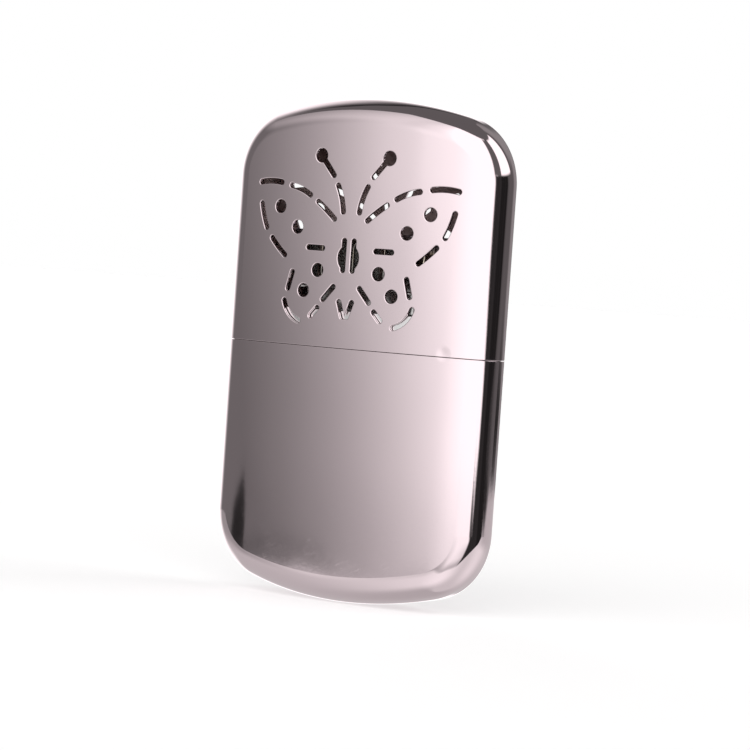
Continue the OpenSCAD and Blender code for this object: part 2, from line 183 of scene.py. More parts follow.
class CameraSettings(bpy.types.PropertyGroup):
    """Where the photograph was taken from."""

    azimuth: bpy.props.FloatProperty(
        name="Azimuth", description="Turned from the front towards the right side",
        default=math.radians(33.6), subtype="ANGLE",
    )
    elevation: bpy.props.FloatProperty(
        name="Elevation", description="Height above the horizon",
        default=math.radians(1.61), subtype="ANGLE",
    )
    roll: bpy.props.FloatProperty(
        name="Roll", description="Turned about the line of sight",
        default=math.radians(3.99), subtype="ANGLE",
    )
    distance: bpy.props.FloatProperty(
        name="Distance", description="From the middle of the front face",
        default=0.6, unit="LENGTH",
    )
    lens: bpy.props.FloatProperty(
        name="Lens", description="Focal length in millimetres on a 36 mm sensor", default=146.2,
    )
    aim_right: bpy.props.FloatProperty(
        name="Aim right", description="How far right of the front face's middle it looks",
        default=6.62 * MM, unit="LENGTH",
    )
    aim_up: bpy.props.FloatProperty(
        name="Aim up", description="How far above the front face's middle it looks",
        default=-4.83 * MM, unit="LENGTH",
    )


# ---- Meshes whose shading follows the exact form ----

WELD = 1e-7
LIP_STEPS = 4


class Skin:
    """Points with their exact surface normals, and the faces between them."""

    def __init__(self):
        self.points = []
        self.normals = []
        self.faces = []
        self.kinds = []
        self.kind = 0

    def add(self, points, normals):
        """Adds points with their normals and returns their numbers."""
        first = len(self.points)
        self.points.extend(tuple(p) for p in points)
        self.normals.extend(tuple(n) for n in normals)
        return list(range(first, len(self.points)))

    def face(self, *numbers):
        self.faces.append(numbers)
        self.kinds.append(self.kind)

    def bridge(self, a, b, closed=True):
        """Quads between two rows of points of the same length."""
        count = len(a) if closed else len(a) - 1
        for i in range(count):
            j = (i + 1) % len(a)
            self.face(a[i], a[j], b[j], b[i])

    def fill(self, loops, flat, place, step=None):
        """Triangles between the outer loop and the holes, over a flat pattern.

        loops are rows of point numbers, flat their places in the pattern, and
        place turns places in the pattern into points and normals.
        """
        numbers = [n for loop in loops for n in loop]
        edges, first = [], 0
        for loop in loops:
            edges += [(first + i, first + (i + 1) % len(loop)) for i in range(len(loop))]
            first += len(loop)
        border = np.concatenate(flat)
        inner = grid_inside(border, step) if step else np.empty((0, 2))
        inner = inner[inside(inner, flat)]
        points, normals = place(inner)
        numbers = numbers + self.add(points, normals)
        spots = [Vector(p) for p in np.concatenate([border, inner])]
        made = delaunay_2d_cdt(spots, edges, [], 1, 1e-9)
        source = [found[0] for found in made[3]]
        corners = np.array([[spots[source[v]] for v in face] for face in made[2]])
        for face, keep in zip(made[2], inside(corners.mean(1), flat)):
            if keep:
                self.face(*(numbers[source[v]] for v in face))

    def weld(self):
        """Joins points at one place; returns it as points, faces and their corners' normals."""
        points = np.array(self.points)
        normals = np.array(self.normals)
        normals /= np.linalg.norm(normals, axis=1)[:, None]
        keys = np.round(points / WELD).astype(np.int64)
        _, first, same = np.unique(keys, axis=0, return_index=True, return_inverse=True)
        same = same.ravel()
        faces, kinds = [], []
        for face, kind in zip(self.faces, self.kinds):
            kept = [n for i, n in enumerate(face) if same[n] != same[face[i - 1]]]
            if len(kept) > 2:
                faces.append(kept)
                kinds.append(kind)
        full = np.array([face + face[-1:] if len(face) == 3 else face for face in faces])
        a, b, c, d = (points[full[:, i]] for i in range(4))
        across = np.cross(b - a, c - a) + np.cross(c - a, d - a)
        turned = (across * normals[full].sum(1)).sum(1) < 0
        faces = [face[::-1] if turn else face for face, turn in zip(faces, turned)]
        return points[first], normals, same, faces, kinds

    def build(self, name, roughen=None):
        """Makes the mesh object; roughen(points, normals) moves a soft piece's points."""
        points, normals, same, faces, kinds = self.weld()
        if roughen:
            mean = np.zeros_like(points)
            np.add.at(mean, same, normals)
            mean /= np.linalg.norm(mean, axis=1)[:, None] + 1e-9
            points = roughen(points, mean)
        mesh = bpy.data.meshes.new(name)
        mesh.from_pydata(points.tolist(), [], [[int(same[n]) for n in f] for f in faces])
        mesh.polygons.foreach_set("material_index", kinds)
        mesh.shade_smooth()
        if not roughen:
            mesh.normals_split_custom_set([tuple(normals[n]) for f in faces for n in f])
        mesh.update()
        made = bpy.data.objects.new(name, mesh)
        bpy.context.scene.collection.objects.link(made)
        return made


class Plane:
    """A flat frame in space: places [u, v] in it and heights w over it."""

    def __init__(self, origin=(0, 0, 0), u=(1, 0, 0), v=(0, 1, 0), w=(0, 0, 1)):
        self.origin, self.u, self.v, self.w = (np.array(a, float) for a in (origin, u, v, w))

    def ways(self, flat, height):
        height = np.broadcast_to(height, len(flat))[:, None]
        return flat[:, :1] * self.u + flat[:, 1:] * self.v + height * self.w

    def points(self, flat, height):
        return self.origin + self.ways(flat, height)


LEVEL = Plane()


def rounded(corners, closed=True, steps=4):
    """Profile through corners [out, up, radius], run counter-clockwise.

    Rows of the result are [out, up] and the outward normal there.
    """
    rows, count = [], len(corners)
    for i, (x, z, radius) in enumerate(corners):
        here = np.array([x, z])
        into = here - np.array(corners[i - 1][:2]) if closed or i else None
        onward = np.array(corners[(i + 1) % count][:2]) - here if closed or i < count - 1 else None
        ways = [np.array([d[1], -d[0]]) / np.linalg.norm(d) for d in (into, onward) if d is not None]
        if len(ways) == 1 or radius == 0:
            rows += [(*here, *way) for way in ways]
            continue
        (ax, ay), (bx, by) = ways
        angle = math.atan2(ax * by - ay * bx, ax * bx + ay * by)
        side = math.copysign(1, angle)
        start = here - into / np.linalg.norm(into) * radius * math.tan(abs(angle) / 2)
        centre = start - side * radius * ways[0]
        for k in range(steps + 1):
            c, s = math.cos(angle * k / steps), math.sin(angle * k / steps)
            way = np.array([c * ax - s * ay, s * ax + c * ay])
            rows.append((*(centre + side * radius * way), *way))
    return rows


def refined(rows, step):
    """The same open profile, its flats divided into stretches no longer than step."""
    out = []
    for a, b in zip(rows, rows[1:]):
        pieces = max(1, math.ceil(math.hypot(b[0] - a[0], b[1] - a[1]) / step))
        out += [tuple(np.array(a) + (np.array(b) - np.array(a)) * k / pieces) for k in range(pieces)]
    return out + rows[-1:]


def sweep(skin, ring, rows, closed=True, plane=LEVEL):
    """Carries a profile round a ring; ring(out) gives flat points and their normals."""
    made = []
    for out, up, lean, rise in rows:
        places, ways = ring(out)
        made.append(skin.add(plane.points(places, up), plane.ways(ways * lean, rise)))
    for a, b in zip(made, made[1:]):
        skin.bridge(a, b)
    if closed:
        skin.bridge(made[-1], made[0])
    return made


def cover(skin, loops, height, way, step=None, plane=LEVEL):
    """Flat face between loops of points at one height; way is 1 up or -1 down."""
    flats = []
    for loop in loops:
        off = np.array([skin.points[n] for n in loop]) - plane.origin
        flats.append(np.stack([off @ plane.u, off @ plane.v], -1))
    rims = [skin.add([skin.points[n] for n in loop], [tuple(way * plane.w)] * len(loop))
            for loop in loops]

    def place(spots):
        return plane.points(spots, height), plane.ways(0 * spots, way)

    skin.fill(rims, flats, place, step)


def plate(skin, outer, holes, plane, thick, edges):
    """Sheet with holes, from height 0 to thick over a plane.

    outer and holes give an outline grown by their argument, and edges are the
    radii of its lower and upper edges.
    """
    walls = [[] for _ in range(1 + len(holes))]
    for height, way, edge in ((0, -1, edges[0]), (thick, 1, edges[1])):
        rims = []
        for number, outline in enumerate([outer, *holes]):
            grow = edge if number else -edge
            void = outline(0) - outline(0.01 * MM if number else -0.01 * MM)
            void /= np.linalg.norm(void, axis=1)[:, None]
            last = skin.add(plane.points(outline(grow), height), plane.ways(0 * void, way))
            rims.append(last)
            for k in range(1, LIP_STEPS + 1) if edge else ():
                angle = math.pi / 2 * k / LIP_STEPS
                ring = plane.points(outline(grow * (1 - math.sin(angle))),
                                    height - way * edge * (1 - math.cos(angle)))
                lean = plane.ways(math.sin(angle) * void, way * math.cos(angle))
                ring = skin.add(ring, lean)
                skin.bridge(last, ring)
                last = ring
            side = skin.add([skin.points[n] for n in last], plane.ways(void, 0))
            walls[number].append(side)
        cover(skin, rims, height, way, plane=plane)
    for low, high in walls:
        skin.bridge(low, high)


def circle_ring(steps):
    """Circle as a ring whose offset is the radius."""
    turn = np.linspace(0, 2 * math.pi, steps, endpoint=False)
    ways = np.stack([np.cos(turn), np.sin(turn)], -1)
    return lambda out: (out * ways, ways)


def oblong_ring(half_length, steps=14, along=1):
    """Two straight sides and round ends; the offset is the radius of the ends."""
    turn = np.linspace(-math.pi / 2, math.pi / 2, steps + 1)
    end = np.stack([np.cos(turn), np.sin(turn)], -1)
    run = np.linspace(half_length, -half_length, along + 1)[1:-1]
    places = [np.tile((half_length, 0), (len(end), 1)), np.stack([run, 0 * run], -1)]
    ways = [end, np.tile((0.0, 1.0), (len(run), 1))]
    places, ways = np.concatenate(places), np.concatenate(ways)
    places, ways = np.concatenate([places, -places]), np.concatenate([ways, -ways])
    return lambda out: (places + out * ways, ways)


def outline_of(corners):
    """Outline through flat corners [x, y, radius], run counter-clockwise, grown by its argument."""
    rows = np.array(rounded(corners))
    return lambda grow: rows[:, :2] + grow * rows[:, 2:]


def rectangle(low, high, low_r, high_r=None):
    """Outline of a rectangle with round corners, which may differ at its top."""
    (x0, y0), (x1, y1) = low, high
    top_r = low_r if high_r is None else high_r
    return outline_of([(x0, y0, low_r), (x1, y0, low_r), (x1, y1, top_r), (x0, y1, top_r)])


def inside(spots, loops):
    """Whether each spot lies inside the outer loop and outside the holes."""
    crossings = np.zeros(len(spots), int)
    for loop in loops:
        a, b = loop, np.roll(loop, -1, axis=0)
        for (ax, az), (bx, bz) in zip(a, b):
            spans = (az > spots[:, 1]) != (bz > spots[:, 1])
            if spans.any():
                at = ax + (spots[:, 1] - az) * (bx - ax) / (bz - az)
                crossings += spans & (spots[:, 0] < at)
    return crossings % 2 == 1


def grid_inside(border, step):
    """Grid points inside the border's box that keep off the border's points."""
    low, high = border.min(0), border.max(0)
    columns = np.arange(low[0] + step[0] / 2, high[0], step[0])
    rows = np.arange(low[1] + step[1] / 2, high[1], step[1])
    spots = np.array([(x, z) for x in columns for z in rows]).reshape(-1, 2)
    gaps = np.linalg.norm(spots[:, None, :] - border[None, :, :], axis=2).min(1)
    return spots[gaps > 0.3 * min(step)]


# ---- The swollen form of the case ----


class CaseForm:
    """A flat core, thicker at its middle, swollen all round by a radius."""

    arch_steps = 20
    corner_steps = 28
    edge_steps = 14
    face_steps = 36
    side_steps = 8

    def __init__(self, sizes):
        self.s = sizes
        self.half_h = sizes.height / 2
        self.core_x = sizes.half_width - sizes.edge_r
        core_y = sizes.half_depth - sizes.edge_r
        sag = core_y - sizes.side_flat / 2
        self.core_r = (self.core_x**2 + sag**2) / (2 * sag)
        self.core_y = core_y
        self.corner_x = sizes.half_width - sizes.corner_r
        reach = sizes.arch_r - sizes.corner_r
        self.corner_h = self.half_h - sizes.arch_r + math.sqrt(reach**2 - self.corner_x**2)
        self.arch_a = math.asin(self.corner_x / reach)

    def core_half(self, x):
        """Half thickness of the core at x."""
        return self.core_y - self.core_r + np.sqrt(self.core_r**2 - x**2)

    def face_normal(self, x, side, grow=0.0):
        lean = x / (self.core_r + grow)
        return np.stack([lean, side * np.sqrt(1 - lean**2), 0 * lean], -1)

    def outline(self, rim):
        """Half of the core's outline, from the right rim over the arch to the left one.

        Returns its places as [x, height above the middle] and its normals.
        """
        s = self.s
        rising = np.linspace(rim, self.corner_h, self.side_steps, endpoint=False)
        turn = np.linspace(math.pi / 2, self.arch_a, self.corner_steps, endpoint=False)
        arch = np.linspace(self.arch_a, 0, self.arch_steps + 1)
        small, large = s.corner_r - s.edge_r, s.arch_r - s.edge_r
        right = [((self.core_x, h), (1, 0)) for h in rising]
        right += [
            ((self.corner_x + small * math.sin(a), self.corner_h + small * math.cos(a)),
             (math.sin(a), math.cos(a)))
            for a in turn
        ]
        right += [
            ((large * math.sin(a), self.half_h - s.arch_r + large * math.cos(a)),
             (math.sin(a), math.cos(a)))
            for a in arch
        ]
        left = [((-p[0], p[1]), (-n[0], n[1])) for p, n in right[-2::-1]]
        places, leans = zip(*(right + left))
        return np.array(places), np.array(leans)

    def band(self, places, leans, grow):
        """Points and normals of the round edge: [outline point, layer, xyz]."""
        layers = [(t, -1) for t in np.linspace(0, 1, self.edge_steps + 1)]
        layers += [(t, 1) for t in np.linspace(1, 0, self.edge_steps + 1)]
        points, normals = [], []
        edge = np.stack([leans[:, 0], 0 * leans[:, 0], leans[:, 1]], -1)
        for t, side in layers:
            way = arc_between(self.face_normal(places[:, 0], side), edge, t)
            core = np.stack(
                [places[:, 0], side * self.core_half(places[:, 0]), places[:, 1]], -1)
            points.append(core + grow * way)
            normals.append(way)
        return np.stack(points, 1), np.stack(normals, 1)

    def section(self, grow, steps=None):
        """Level section where the sides are straight: points [x, y] and normals.

        It runs along the front from left to right and back along the back.
        """
        xs = np.linspace(-self.core_x, self.core_x, (steps or self.face_steps) + 1)
        ends = np.array([[self.core_x, 0.0]]), np.array([[1.0, 0.0]])
        points, normals = self.band(*ends, grow)
        round_p, round_n = points[0, 1:-1, :2], normals[0, 1:-1, :2]
        flip = np.array([-1, 1])
        rows, ways = [], []
        for side, along in ((-1, xs), (1, xs[::-1])):
            way = self.face_normal(along, side)[:, :2]
            rows.append(np.stack([along, side * self.core_half(along)], -1) + grow * way)
            ways.append(way)
        places = [rows[0], round_p, rows[1], (round_p * flip)[::-1]]
        leans = [ways[0], round_n, ways[1], (round_n * flip)[::-1]]
        return np.concatenate(places), np.concatenate(leans)


def arc_between(a, b, t):
    """Directions between two sets of unit vectors, t from 0 to 1 along their arcs."""
    turn = np.arccos(np.clip((a * b).sum(-1), -1, 1))[:, None]
    return (np.sin((1 - t) * turn) * a + np.sin(t * turn) * b) / np.sin(turn)


# ---- The vents, drawn on the grid of the butterfly ----

GRID_SPAN = 46.6
WING_SLOTS = (
    ((17.8, 14.5), (23.3, 14.4), 0.25),
    ((10.2, 12.3), (15.1, 14.0), 0.25),
    ((3.9, 7.8), (8.1, 11.0), 0.1),
    ((22.8, 10.1), (21.1, 5.4), 0.15),
    ((19.4, 3.3), (15.8, 0.1), 0.1),
    ((6.3, 1.9), (9.8, 1.9), 0),
    ((13.5, -3.2), (14.4, -6.5), 0),
    ((15.1, -9.0), (11.2, -12.8), 0.7),
    ((3.1, -5.6), (5.4, -8.2), 0),
    ((6.7, -10.0), (8.2, -11.6), 0),
    ((1.9, 9.3), (3.5, 14.4), 0.25),
)
WING_SPOTS = ((17.7, 9.7), (12.9, 5.8), (7.2, -2.5), (10.4, -6.7))
FEELER = ((4.7, 16.4), (8.0, 20.2))
TAIL_LEG = ((1.5, -8.5), (0.5, -11.3))
BODY_TOP, BODY_FOOT, BODY_SWELL = 3.6, -2.2, 1.35
SIDE_STEPS, END_STEPS, SPOT_STEPS = 8, 10, 28


def arc_points(centre, radius, start, end, steps):
    """Points of an arc, in degrees, both ends included."""
    angles = np.radians(np.linspace(start, end, steps + 1))
    return np.array(centre) + radius * np.stack([np.cos(angles), np.sin(angles)], -1)


def slot_outline(a, b, sag, half):
    """Outline of a slot from a to b that bulges to its left by sag."""
    a, b = np.array(a), np.array(b)
    heading = math.degrees(math.atan2(*(b - a)[::-1]))
    if sag == 0:
        lean_a = lean_b = heading
        right = left = np.empty((0, 2))
    else:
        chord = np.linalg.norm(b - a)
        radius = (chord**2 / 4 + sag**2) / (2 * sag)
        swing = math.degrees(math.asin(chord / 2 / radius))
        left_way = np.array([a[1] - b[1], b[0] - a[0]]) / chord
        centre = (a + b) / 2 - left_way * (radius - sag)
        lean_a, lean_b = heading + swing, heading - swing
        middle = [heading + 90 + swing, heading + 90 - swing]
        left = arc_points(centre, radius + half, middle[1], middle[0], SIDE_STEPS)[1:-1]
        right = arc_points(centre, radius - half, middle[0], middle[1], SIDE_STEPS)[1:-1]
    cap_b = arc_points(b, half, lean_b - 90, lean_b + 90, END_STEPS)
    cap_a = arc_points(a, half, lean_a + 90, lean_a + 270, END_STEPS)
    return np.concatenate([right, cap_b, left, cap_a])


def spot_outline(centre, radius):
    return arc_points(centre, radius, 0, 360, SPOT_STEPS)[:-1]


def feeler_outline(foot, tip, half, radius):
    """Outline of a feeler: a round tip with a slot that runs into it."""
    foot, tip = np.array(foot), np.array(tip)
    heading = math.degrees(math.atan2(*(tip - foot)[::-1]))
    opening = math.degrees(math.asin(half / radius))
    ball = arc_points(tip, radius, heading + 180 + opening, heading + 540 - opening, 30)
    cap = arc_points(foot, half, heading + 90, heading + 270, END_STEPS)
    return np.concatenate([ball, cap])


def body_outline(inner_x, slot, swell, foot, top, grow):
    """Outline of one half of the body: an upright slot with a swollen lower part."""
    middle = inner_x + slot / 2
    half = slot / 2 + grow
    rise = (top - foot) * 0.42
    radius = (rise**2 + swell**2) / (2 * swell)
    centre = np.array([middle + swell - radius, foot + rise])
    outer = middle + half
    reach = math.degrees(math.acos((outer - centre[0]) / (radius + grow)))
    low = arc_points((middle, foot), half, 180, 360, 12)
    bulge = arc_points(centre, radius + grow, -reach, reach, 16)
    high = arc_points((middle, top), half, 0, 180, 12)
    return np.concatenate([low, bulge, high])


def tail_outline(top, foot, half):
    """Outline of the tail: two slots that meet in a V."""
    top, foot = np.array(top), np.array(foot)
    heading = math.degrees(math.atan2(*(top - foot)[::-1]))
    out_way = arc_points((0, 0), 1, heading - 90, heading - 90, 0)[0]
    slope = (top - foot) / np.linalg.norm(top - foot)
    inner = foot - half * out_way
    notch = inner + slope * (-inner[0] / slope[0])
    right_cap = arc_points(top, half, heading - 90, heading + 90, END_STEPS)
    right_foot = arc_points(foot, half, -90, heading - 90, 6)
    flip = np.array([-1, 1])
    right = np.concatenate([right_foot, right_cap])
    return np.concatenate([right, [notch], (right * flip)[::-1]])


def butterfly(vents, middle_h):
    """The vents as functions that give an outline, grown by their argument."""
    unit = vents.span / GRID_SPAN
    half, up = vents.slot / 2, np.array([0, middle_h])

    def at(point):
        return np.array(point) * unit + up

    def both(outline):
        flip = np.array([-1, 1])
        return [outline, lambda grow: (outline(grow) * flip)[::-1]]

    made = []
    for a, b, sag in WING_SLOTS:
        made += both(lambda g, a=a, b=b, sag=sag: slot_outline(at(a), at(b), sag * unit, half + g))
    for p in WING_SPOTS:
        made += both(lambda g, p=p: spot_outline(at(p), vents.spot / 2 + g))
    made += both(lambda g: feeler_outline(at(FEELER[0]), at(FEELER[1]), half + g,
                                          vents.feeler / 2 + g))
    made += both(lambda g: body_outline(vents.web, vents.slot, BODY_SWELL * unit,
                                        at((0, BODY_FOOT))[1], at((0, BODY_TOP))[1], g))
    made.append(lambda g: tail_outline(at(TAIL_LEG[0]), at(TAIL_LEG[1]), half + g))
    return made


# ---- Case ----


class Half:
    """Turns heights above the case's middle into places; up is 1 for the cap, -1 for the tank."""

    def __init__(self, middle, up):
        self.middle, self.up = middle, up

    def lift(self, points):
        out = np.array(points, float)
        out[..., 2] = self.middle + self.up * out[..., 2]
        return out

    def turn(self, normals):
        return np.array(normals, float) * np.array([1, 1, self.up])

    def flat(self, skin, loop):
        """Places of a loop's points as [x, height above the middle]."""
        points = np.array([skin.points[i] for i in loop])
        return np.stack([points[:, 0], self.up * (points[:, 2] - self.middle)], -1)


def case_skin(skin, form, grow, sign, start, half, step, outlines=(), lip=0):
    """One swollen skin of a half, from the height start to the closed end.

    sign is 1 for an outer skin and -1 for an inner one, and the outlines are
    left open, grown by lip. Returns the loop at start, and for each side, -1 in
    front and 1 behind, its place function and the rings of its openings.
    """
    places, leans = form.outline(start)
    points, normals = form.band(places, leans, grow)
    flat = skin.add(half.lift(points.reshape(-1, 3)), sign * half.turn(normals.reshape(-1, 3)))
    band = np.array(flat).reshape(points.shape[:2])
    for m in range(len(band) - 1):
        skin.bridge(list(band[m]), list(band[m + 1]), closed=False)
    xs = np.linspace(-form.core_x, form.core_x, form.face_steps + 1)[1:-1]
    bottoms, openings = [], {}
    for side in (-1, 1):

        def place(spots, side=side):
            lean = form.face_normal(spots[:, 0], side, grow)
            y = side * form.core_half(spots[:, 0] / (1 + grow / form.core_r)) + grow * lean[:, 1]
            points = np.stack([spots[:, 0], y, spots[:, 1]], -1)
            return half.lift(points), sign * half.turn(lean)

        way = form.face_normal(xs, side)
        core = np.stack([xs, side * form.core_half(xs), 0 * xs + start], -1)
        row = skin.add(half.lift(core + grow * way), sign * half.turn(way))
        edge = band[:, 0] if side < 0 else band[:, -1]
        border = [edge[-1], *row, edge[0], *edge[1:-1]]
        bottoms.append([edge[-1], *row, edge[0]])
        spots = [outline(lip) for outline in outlines]
        rings = [skin.add(*place(ring)) for ring in spots]
        skin.fill([border, *rings], [half.flat(skin, border), *spots], place, step)
        openings[side] = place, rings
    return [*bottoms[0], *band[0][1:-1], *bottoms[1][::-1], *band[-1][1:-1][::-1]], openings


def half_case(skin, form, rim, up, outlines, lip):
    """One half of the case: from its rim, at height rim above the middle, to its closed end."""
    s = form.s
    half, start, step = Half(s.height / 2, up), rim + s.rim_round, (1.6 * MM, 2.4 * MM)
    outer, fronts = case_skin(skin, form, s.edge_r, 1, start, half, step, outlines, lip)
    # The inner skin takes the second material, whose brown is painted shade of the case's inside.
    skin.kind = 1
    inner, backs = case_skin(skin, form, s.edge_r - s.wall, -1, start, half, step, outlines)
    skin.kind = 0
    for side, (place, rings) in fronts.items():
        for outline, ring, foot in zip(outlines, rings, backs[side][1]):
            last = vent_lip(skin, outline, place, half, ring, lip)
            wall = skin.add([skin.points[i] for i in foot], [skin.normals[i] for i in last])
            skin.bridge(last, wall)
    rounded_rim(skin, form, rim, half, outer, inner)


def vent_lip(skin, outline, place, half, outer, lip):
    """Rounded outer edge of a vent; returns its last ring, at the start of the wall."""
    last = outer
    reach = outline(lip) - outline(0)
    inward = -reach / np.linalg.norm(reach, axis=1)[:, None]
    wall_way = half.turn(np.stack([inward[:, 0], 0 * inward[:, 0], inward[:, 1]], -1))
    for step in range(1, LIP_STEPS + 1):
        angle = math.pi / 2 * step / LIP_STEPS
        points, normals = place(outline(lip * (1 - math.sin(angle))))
        depth = lip * (1 - math.cos(angle))
        points[:, 1] -= np.sign(points[:, 1]) * depth
        ring = skin.add(points, math.cos(angle) * normals + math.sin(angle) * wall_way)
        skin.bridge(last, ring)
        last = ring
    return last


def rounded_rim(skin, form, rim, half, outer, inner):
    """The sheet's rounded rim at the seam, between the outer and the inner skin."""
    s = form.s
    outer_grow, inner_grow, r = s.edge_r, s.edge_r - s.wall, s.rim_round
    last = outer
    stages = [(math.pi / 2 * k / LIP_STEPS, outer_grow, -1) for k in range(1, LIP_STEPS + 1)]
    stages += [(math.pi / 2 * k / LIP_STEPS, inner_grow, 1) for k in range(LIP_STEPS, 0, -1)]
    for angle, grow, way in stages:
        places, leans = form.section(grow + way * r * (1 - math.cos(angle)))
        height = rim + r * (1 - math.sin(angle))
        points = np.column_stack([places, np.full(len(places), height)])
        out = -way * math.cos(angle)
        normals = np.column_stack([leans * out, np.full(len(leans), -math.sin(angle))])
        ring = skin.add(half.lift(points), half.turn(normals))
        skin.bridge(last, ring)
        last = ring
    skin.bridge(last, inner)


class WARMER_OT_case(bpy.types.Operator):
    """Builds the drawn cap with its vents, and the tank"""

    bl_idname = "warmer.case"
    bl_label = "Cap and tank"

    def execute(self, context):
        scene = context.scene
        form = CaseForm(scene.warmer_case)
        middle = scene.warmer_case.height / 2
        seam = top_of("tank_shell")
        vents_h = seam + scene.warmer_vents.above_seam - middle
        jobs = (
            ("cap_case", "cap_shell", "cap", foot_of("cap_shell") - middle, 1,
             butterfly(scene.warmer_vents, vents_h)),
            ("tank_case", "tank_shell", "tank", middle - seam, -1, []),
        )
        for name, node, body, rim, up, outlines in jobs:
            skin = Skin()
            half_case(skin, form, rim, up, outlines, scene.warmer_vents.lip)
            dress(skin.build(name), "case_metal", body, node, case_metal, shaded_case_inside)
        return {"FINISHED"}


def dress(made, slot, body, node, *paints):
    """Gives a piece its materials and body, and hides the node that it stands for; slot is not used.
    """
    for paint in paints:
        made.data.materials.append(painted(paint))
    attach(made, body)
    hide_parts(node)
    return made


# ---- Tank's mouth ----

SEAT_GAP = 0.05 * MM
RIB_HALF_T = 0.25 * MM
# Radii of the sheet's edges: as cut, inside a bend, slightly eased and eased.
CUT, BEND, FINE, EASED = 0.08 * MM, 0.12 * MM, 0.15 * MM, 0.2 * MM


def neck_half_length():
    """Half length of the straight sides that neck, skirt and felt share."""
    return half_width_of("filler_neck") - half_depth_of("filler_neck")


def neck_radius(sizes):
    return half_depth_of("filler_neck") - sizes.flange


class WARMER_OT_collar(bpy.types.Operator):
    """Builds the stepped collar sleeve and the grip ribs pressed in it"""

    bl_idname = "warmer.collar"
    bl_label = "Collar sleeve"

    def execute(self, context):
        s, case = context.scene.warmer_tank, context.scene.warmer_case
        form = CaseForm(case)
        seam, top, foot = top_of("tank_shell"), top_of("collar_sleeve"), foot_of("collar_sleeve")
        low = case.edge_r - case.wall - SEAT_GAP
        high = low - s.collar_step
        skin = Skin()
        sweep(skin, form.section, rounded([
            (low - s.collar_wall, foot, BEND), (low, foot, BEND), (low, seam, BEND),
            (high, seam, CUT), (high, top, EASED), (high - s.collar_wall, top, BEND),
            (high - s.collar_wall, seam - s.collar_wall, BEND),
            (low - s.collar_wall, seam - s.collar_wall, BEND),
        ]))
        start, end = seam + 2 * s.rib_w, top_of("deck_plate") - 2 * s.rib_w
        for x in (-s.rib_x, s.rib_x):
            for side in (-1, 1):
                way = form.face_normal(np.array([x]), side)[0]
                core = np.array([x, side * form.core_half(x), 0])
                rib(skin, core + way * (high + s.rib_out - RIB_HALF_T), way, s.rib_w, start, end)
        dress(skin.build("collar"), "bright_metal", "tank", "collar_sleeve", bright_metal)
        return {"FINISHED"}


def rib(skin, middle, way, half_w, start, end, steps=8):
    """Upright rib of lens-shaped section with round ends, let into the sheet."""
    across = np.array([-way[1], way[0], 0])
    turn = np.linspace(0, 2 * math.pi, 4 * steps, endpoint=False)[:, None]
    rows = []
    for z, first in ((start, -90), (end, 0)):
        for angle in np.radians(np.linspace(first, first + 90, steps + 1)):
            up = z + half_w * math.sin(angle)
            flat = half_w * np.cos(turn) * across + RIB_HALF_T * np.sin(turn) * way
            lean = RIB_HALF_T * np.cos(turn) * across + half_w * np.sin(turn) * way
            lean = lean / np.linalg.norm(lean, axis=1)[:, None] * math.cos(angle)
            rows.append(skin.add(middle + flat * math.cos(angle) + (0, 0, up),
                                 lean + (0, 0, math.sin(angle))))
    for a, b in zip(rows, rows[1:]):
        skin.bridge(a, b)


class WARMER_OT_deck(bpy.types.Operator):
    """Builds the closing plate with its turned-down rim"""

    bl_idname = "warmer.deck"
    bl_label = "Deck plate"

    def execute(self, context):
        s, case = context.scene.warmer_tank, context.scene.warmer_case
        form = CaseForm(case)
        top, foot, t = top_of("deck_plate"), foot_of("deck_plate"), s.deck_wall
        out = case.edge_r - case.wall - s.collar_step - s.collar_wall - 2 * SEAT_GAP
        inner = out - 3 * t
        skin = Skin()
        pan = sweep(skin, form.section, rounded([
            (inner, top - t, 0), (out - t, top - t, EASED), (out - t, foot, BEND),
            (out, foot, BEND), (out, top, 0.6 * MM), (inner, top, 0),
        ], closed=False), closed=False)
        ring = oblong_ring(neck_half_length())
        hole, edge = neck_radius(s) + SEAT_GAP, EASED
        mouth = sweep(skin, ring, rounded([
            (hole + edge, top, 0), (hole, top, BEND), (hole, top - t, BEND),
            (hole + edge, top - t, 0),
        ], closed=False), closed=False)
        cover(skin, [pan[-1], mouth[0]], top, 1)
        cover(skin, [pan[0], mouth[-1]], top - t, -1)
        dress(skin.build("deck"), "bright_metal", "tank", "deck_plate", bright_metal)
        return {"FINISHED"}


class WARMER_OT_neck(bpy.types.Operator):
    """Builds the oblong filler neck with its flange"""

    bl_idname = "warmer.neck"
    bl_label = "Filler neck"

    def execute(self, context):
        s = context.scene.warmer_tank
        deck, top, foot = top_of("deck_plate"), top_of("filler_neck"), foot_of("filler_neck")
        out, edge = neck_radius(s), half_depth_of("filler_neck")
        skin = Skin()
        sweep(skin, oblong_ring(neck_half_length()), rounded([
            (out - s.neck_wall, foot, BEND), (out, foot, BEND), (out, deck, 0),
            (edge, deck, CUT), (edge, deck + s.flange_t, 0.25 * MM),
            (out, deck + s.flange_t, 0.3 * MM), (out, top, EASED),
            (out - s.neck_wall, top, EASED),
        ]))
        dress(skin.build("neck"), "bright_metal", "tank", "filler_neck", bright_metal)
        return {"FINISHED"}


# ---- Filling ----

# How far the folds in the cotton wander up and down, their half width and their depth.
FOLD_WAVE, FOLD_W, FOLD_DEPTH = 0.8 * MM, 0.5 * MM, 0.7 * MM


def soft_block(ring, reach, low, high, edge, step):
    """Upright block of a ring's outline with round edges, meshed finely enough to be shaped."""
    skin = Skin()
    start = reach - 1.2 * edge
    rows = rounded([(start, low, 0), (reach, low, edge), (reach, high, edge), (start, high, 0)],
                   closed=False)
    made = sweep(skin, ring, refined(rows, step), closed=False)
    cover(skin, [made[0]], low, -1, (step, step))
    cover(skin, [made[-1]], high, 1, (step, step))
    return skin


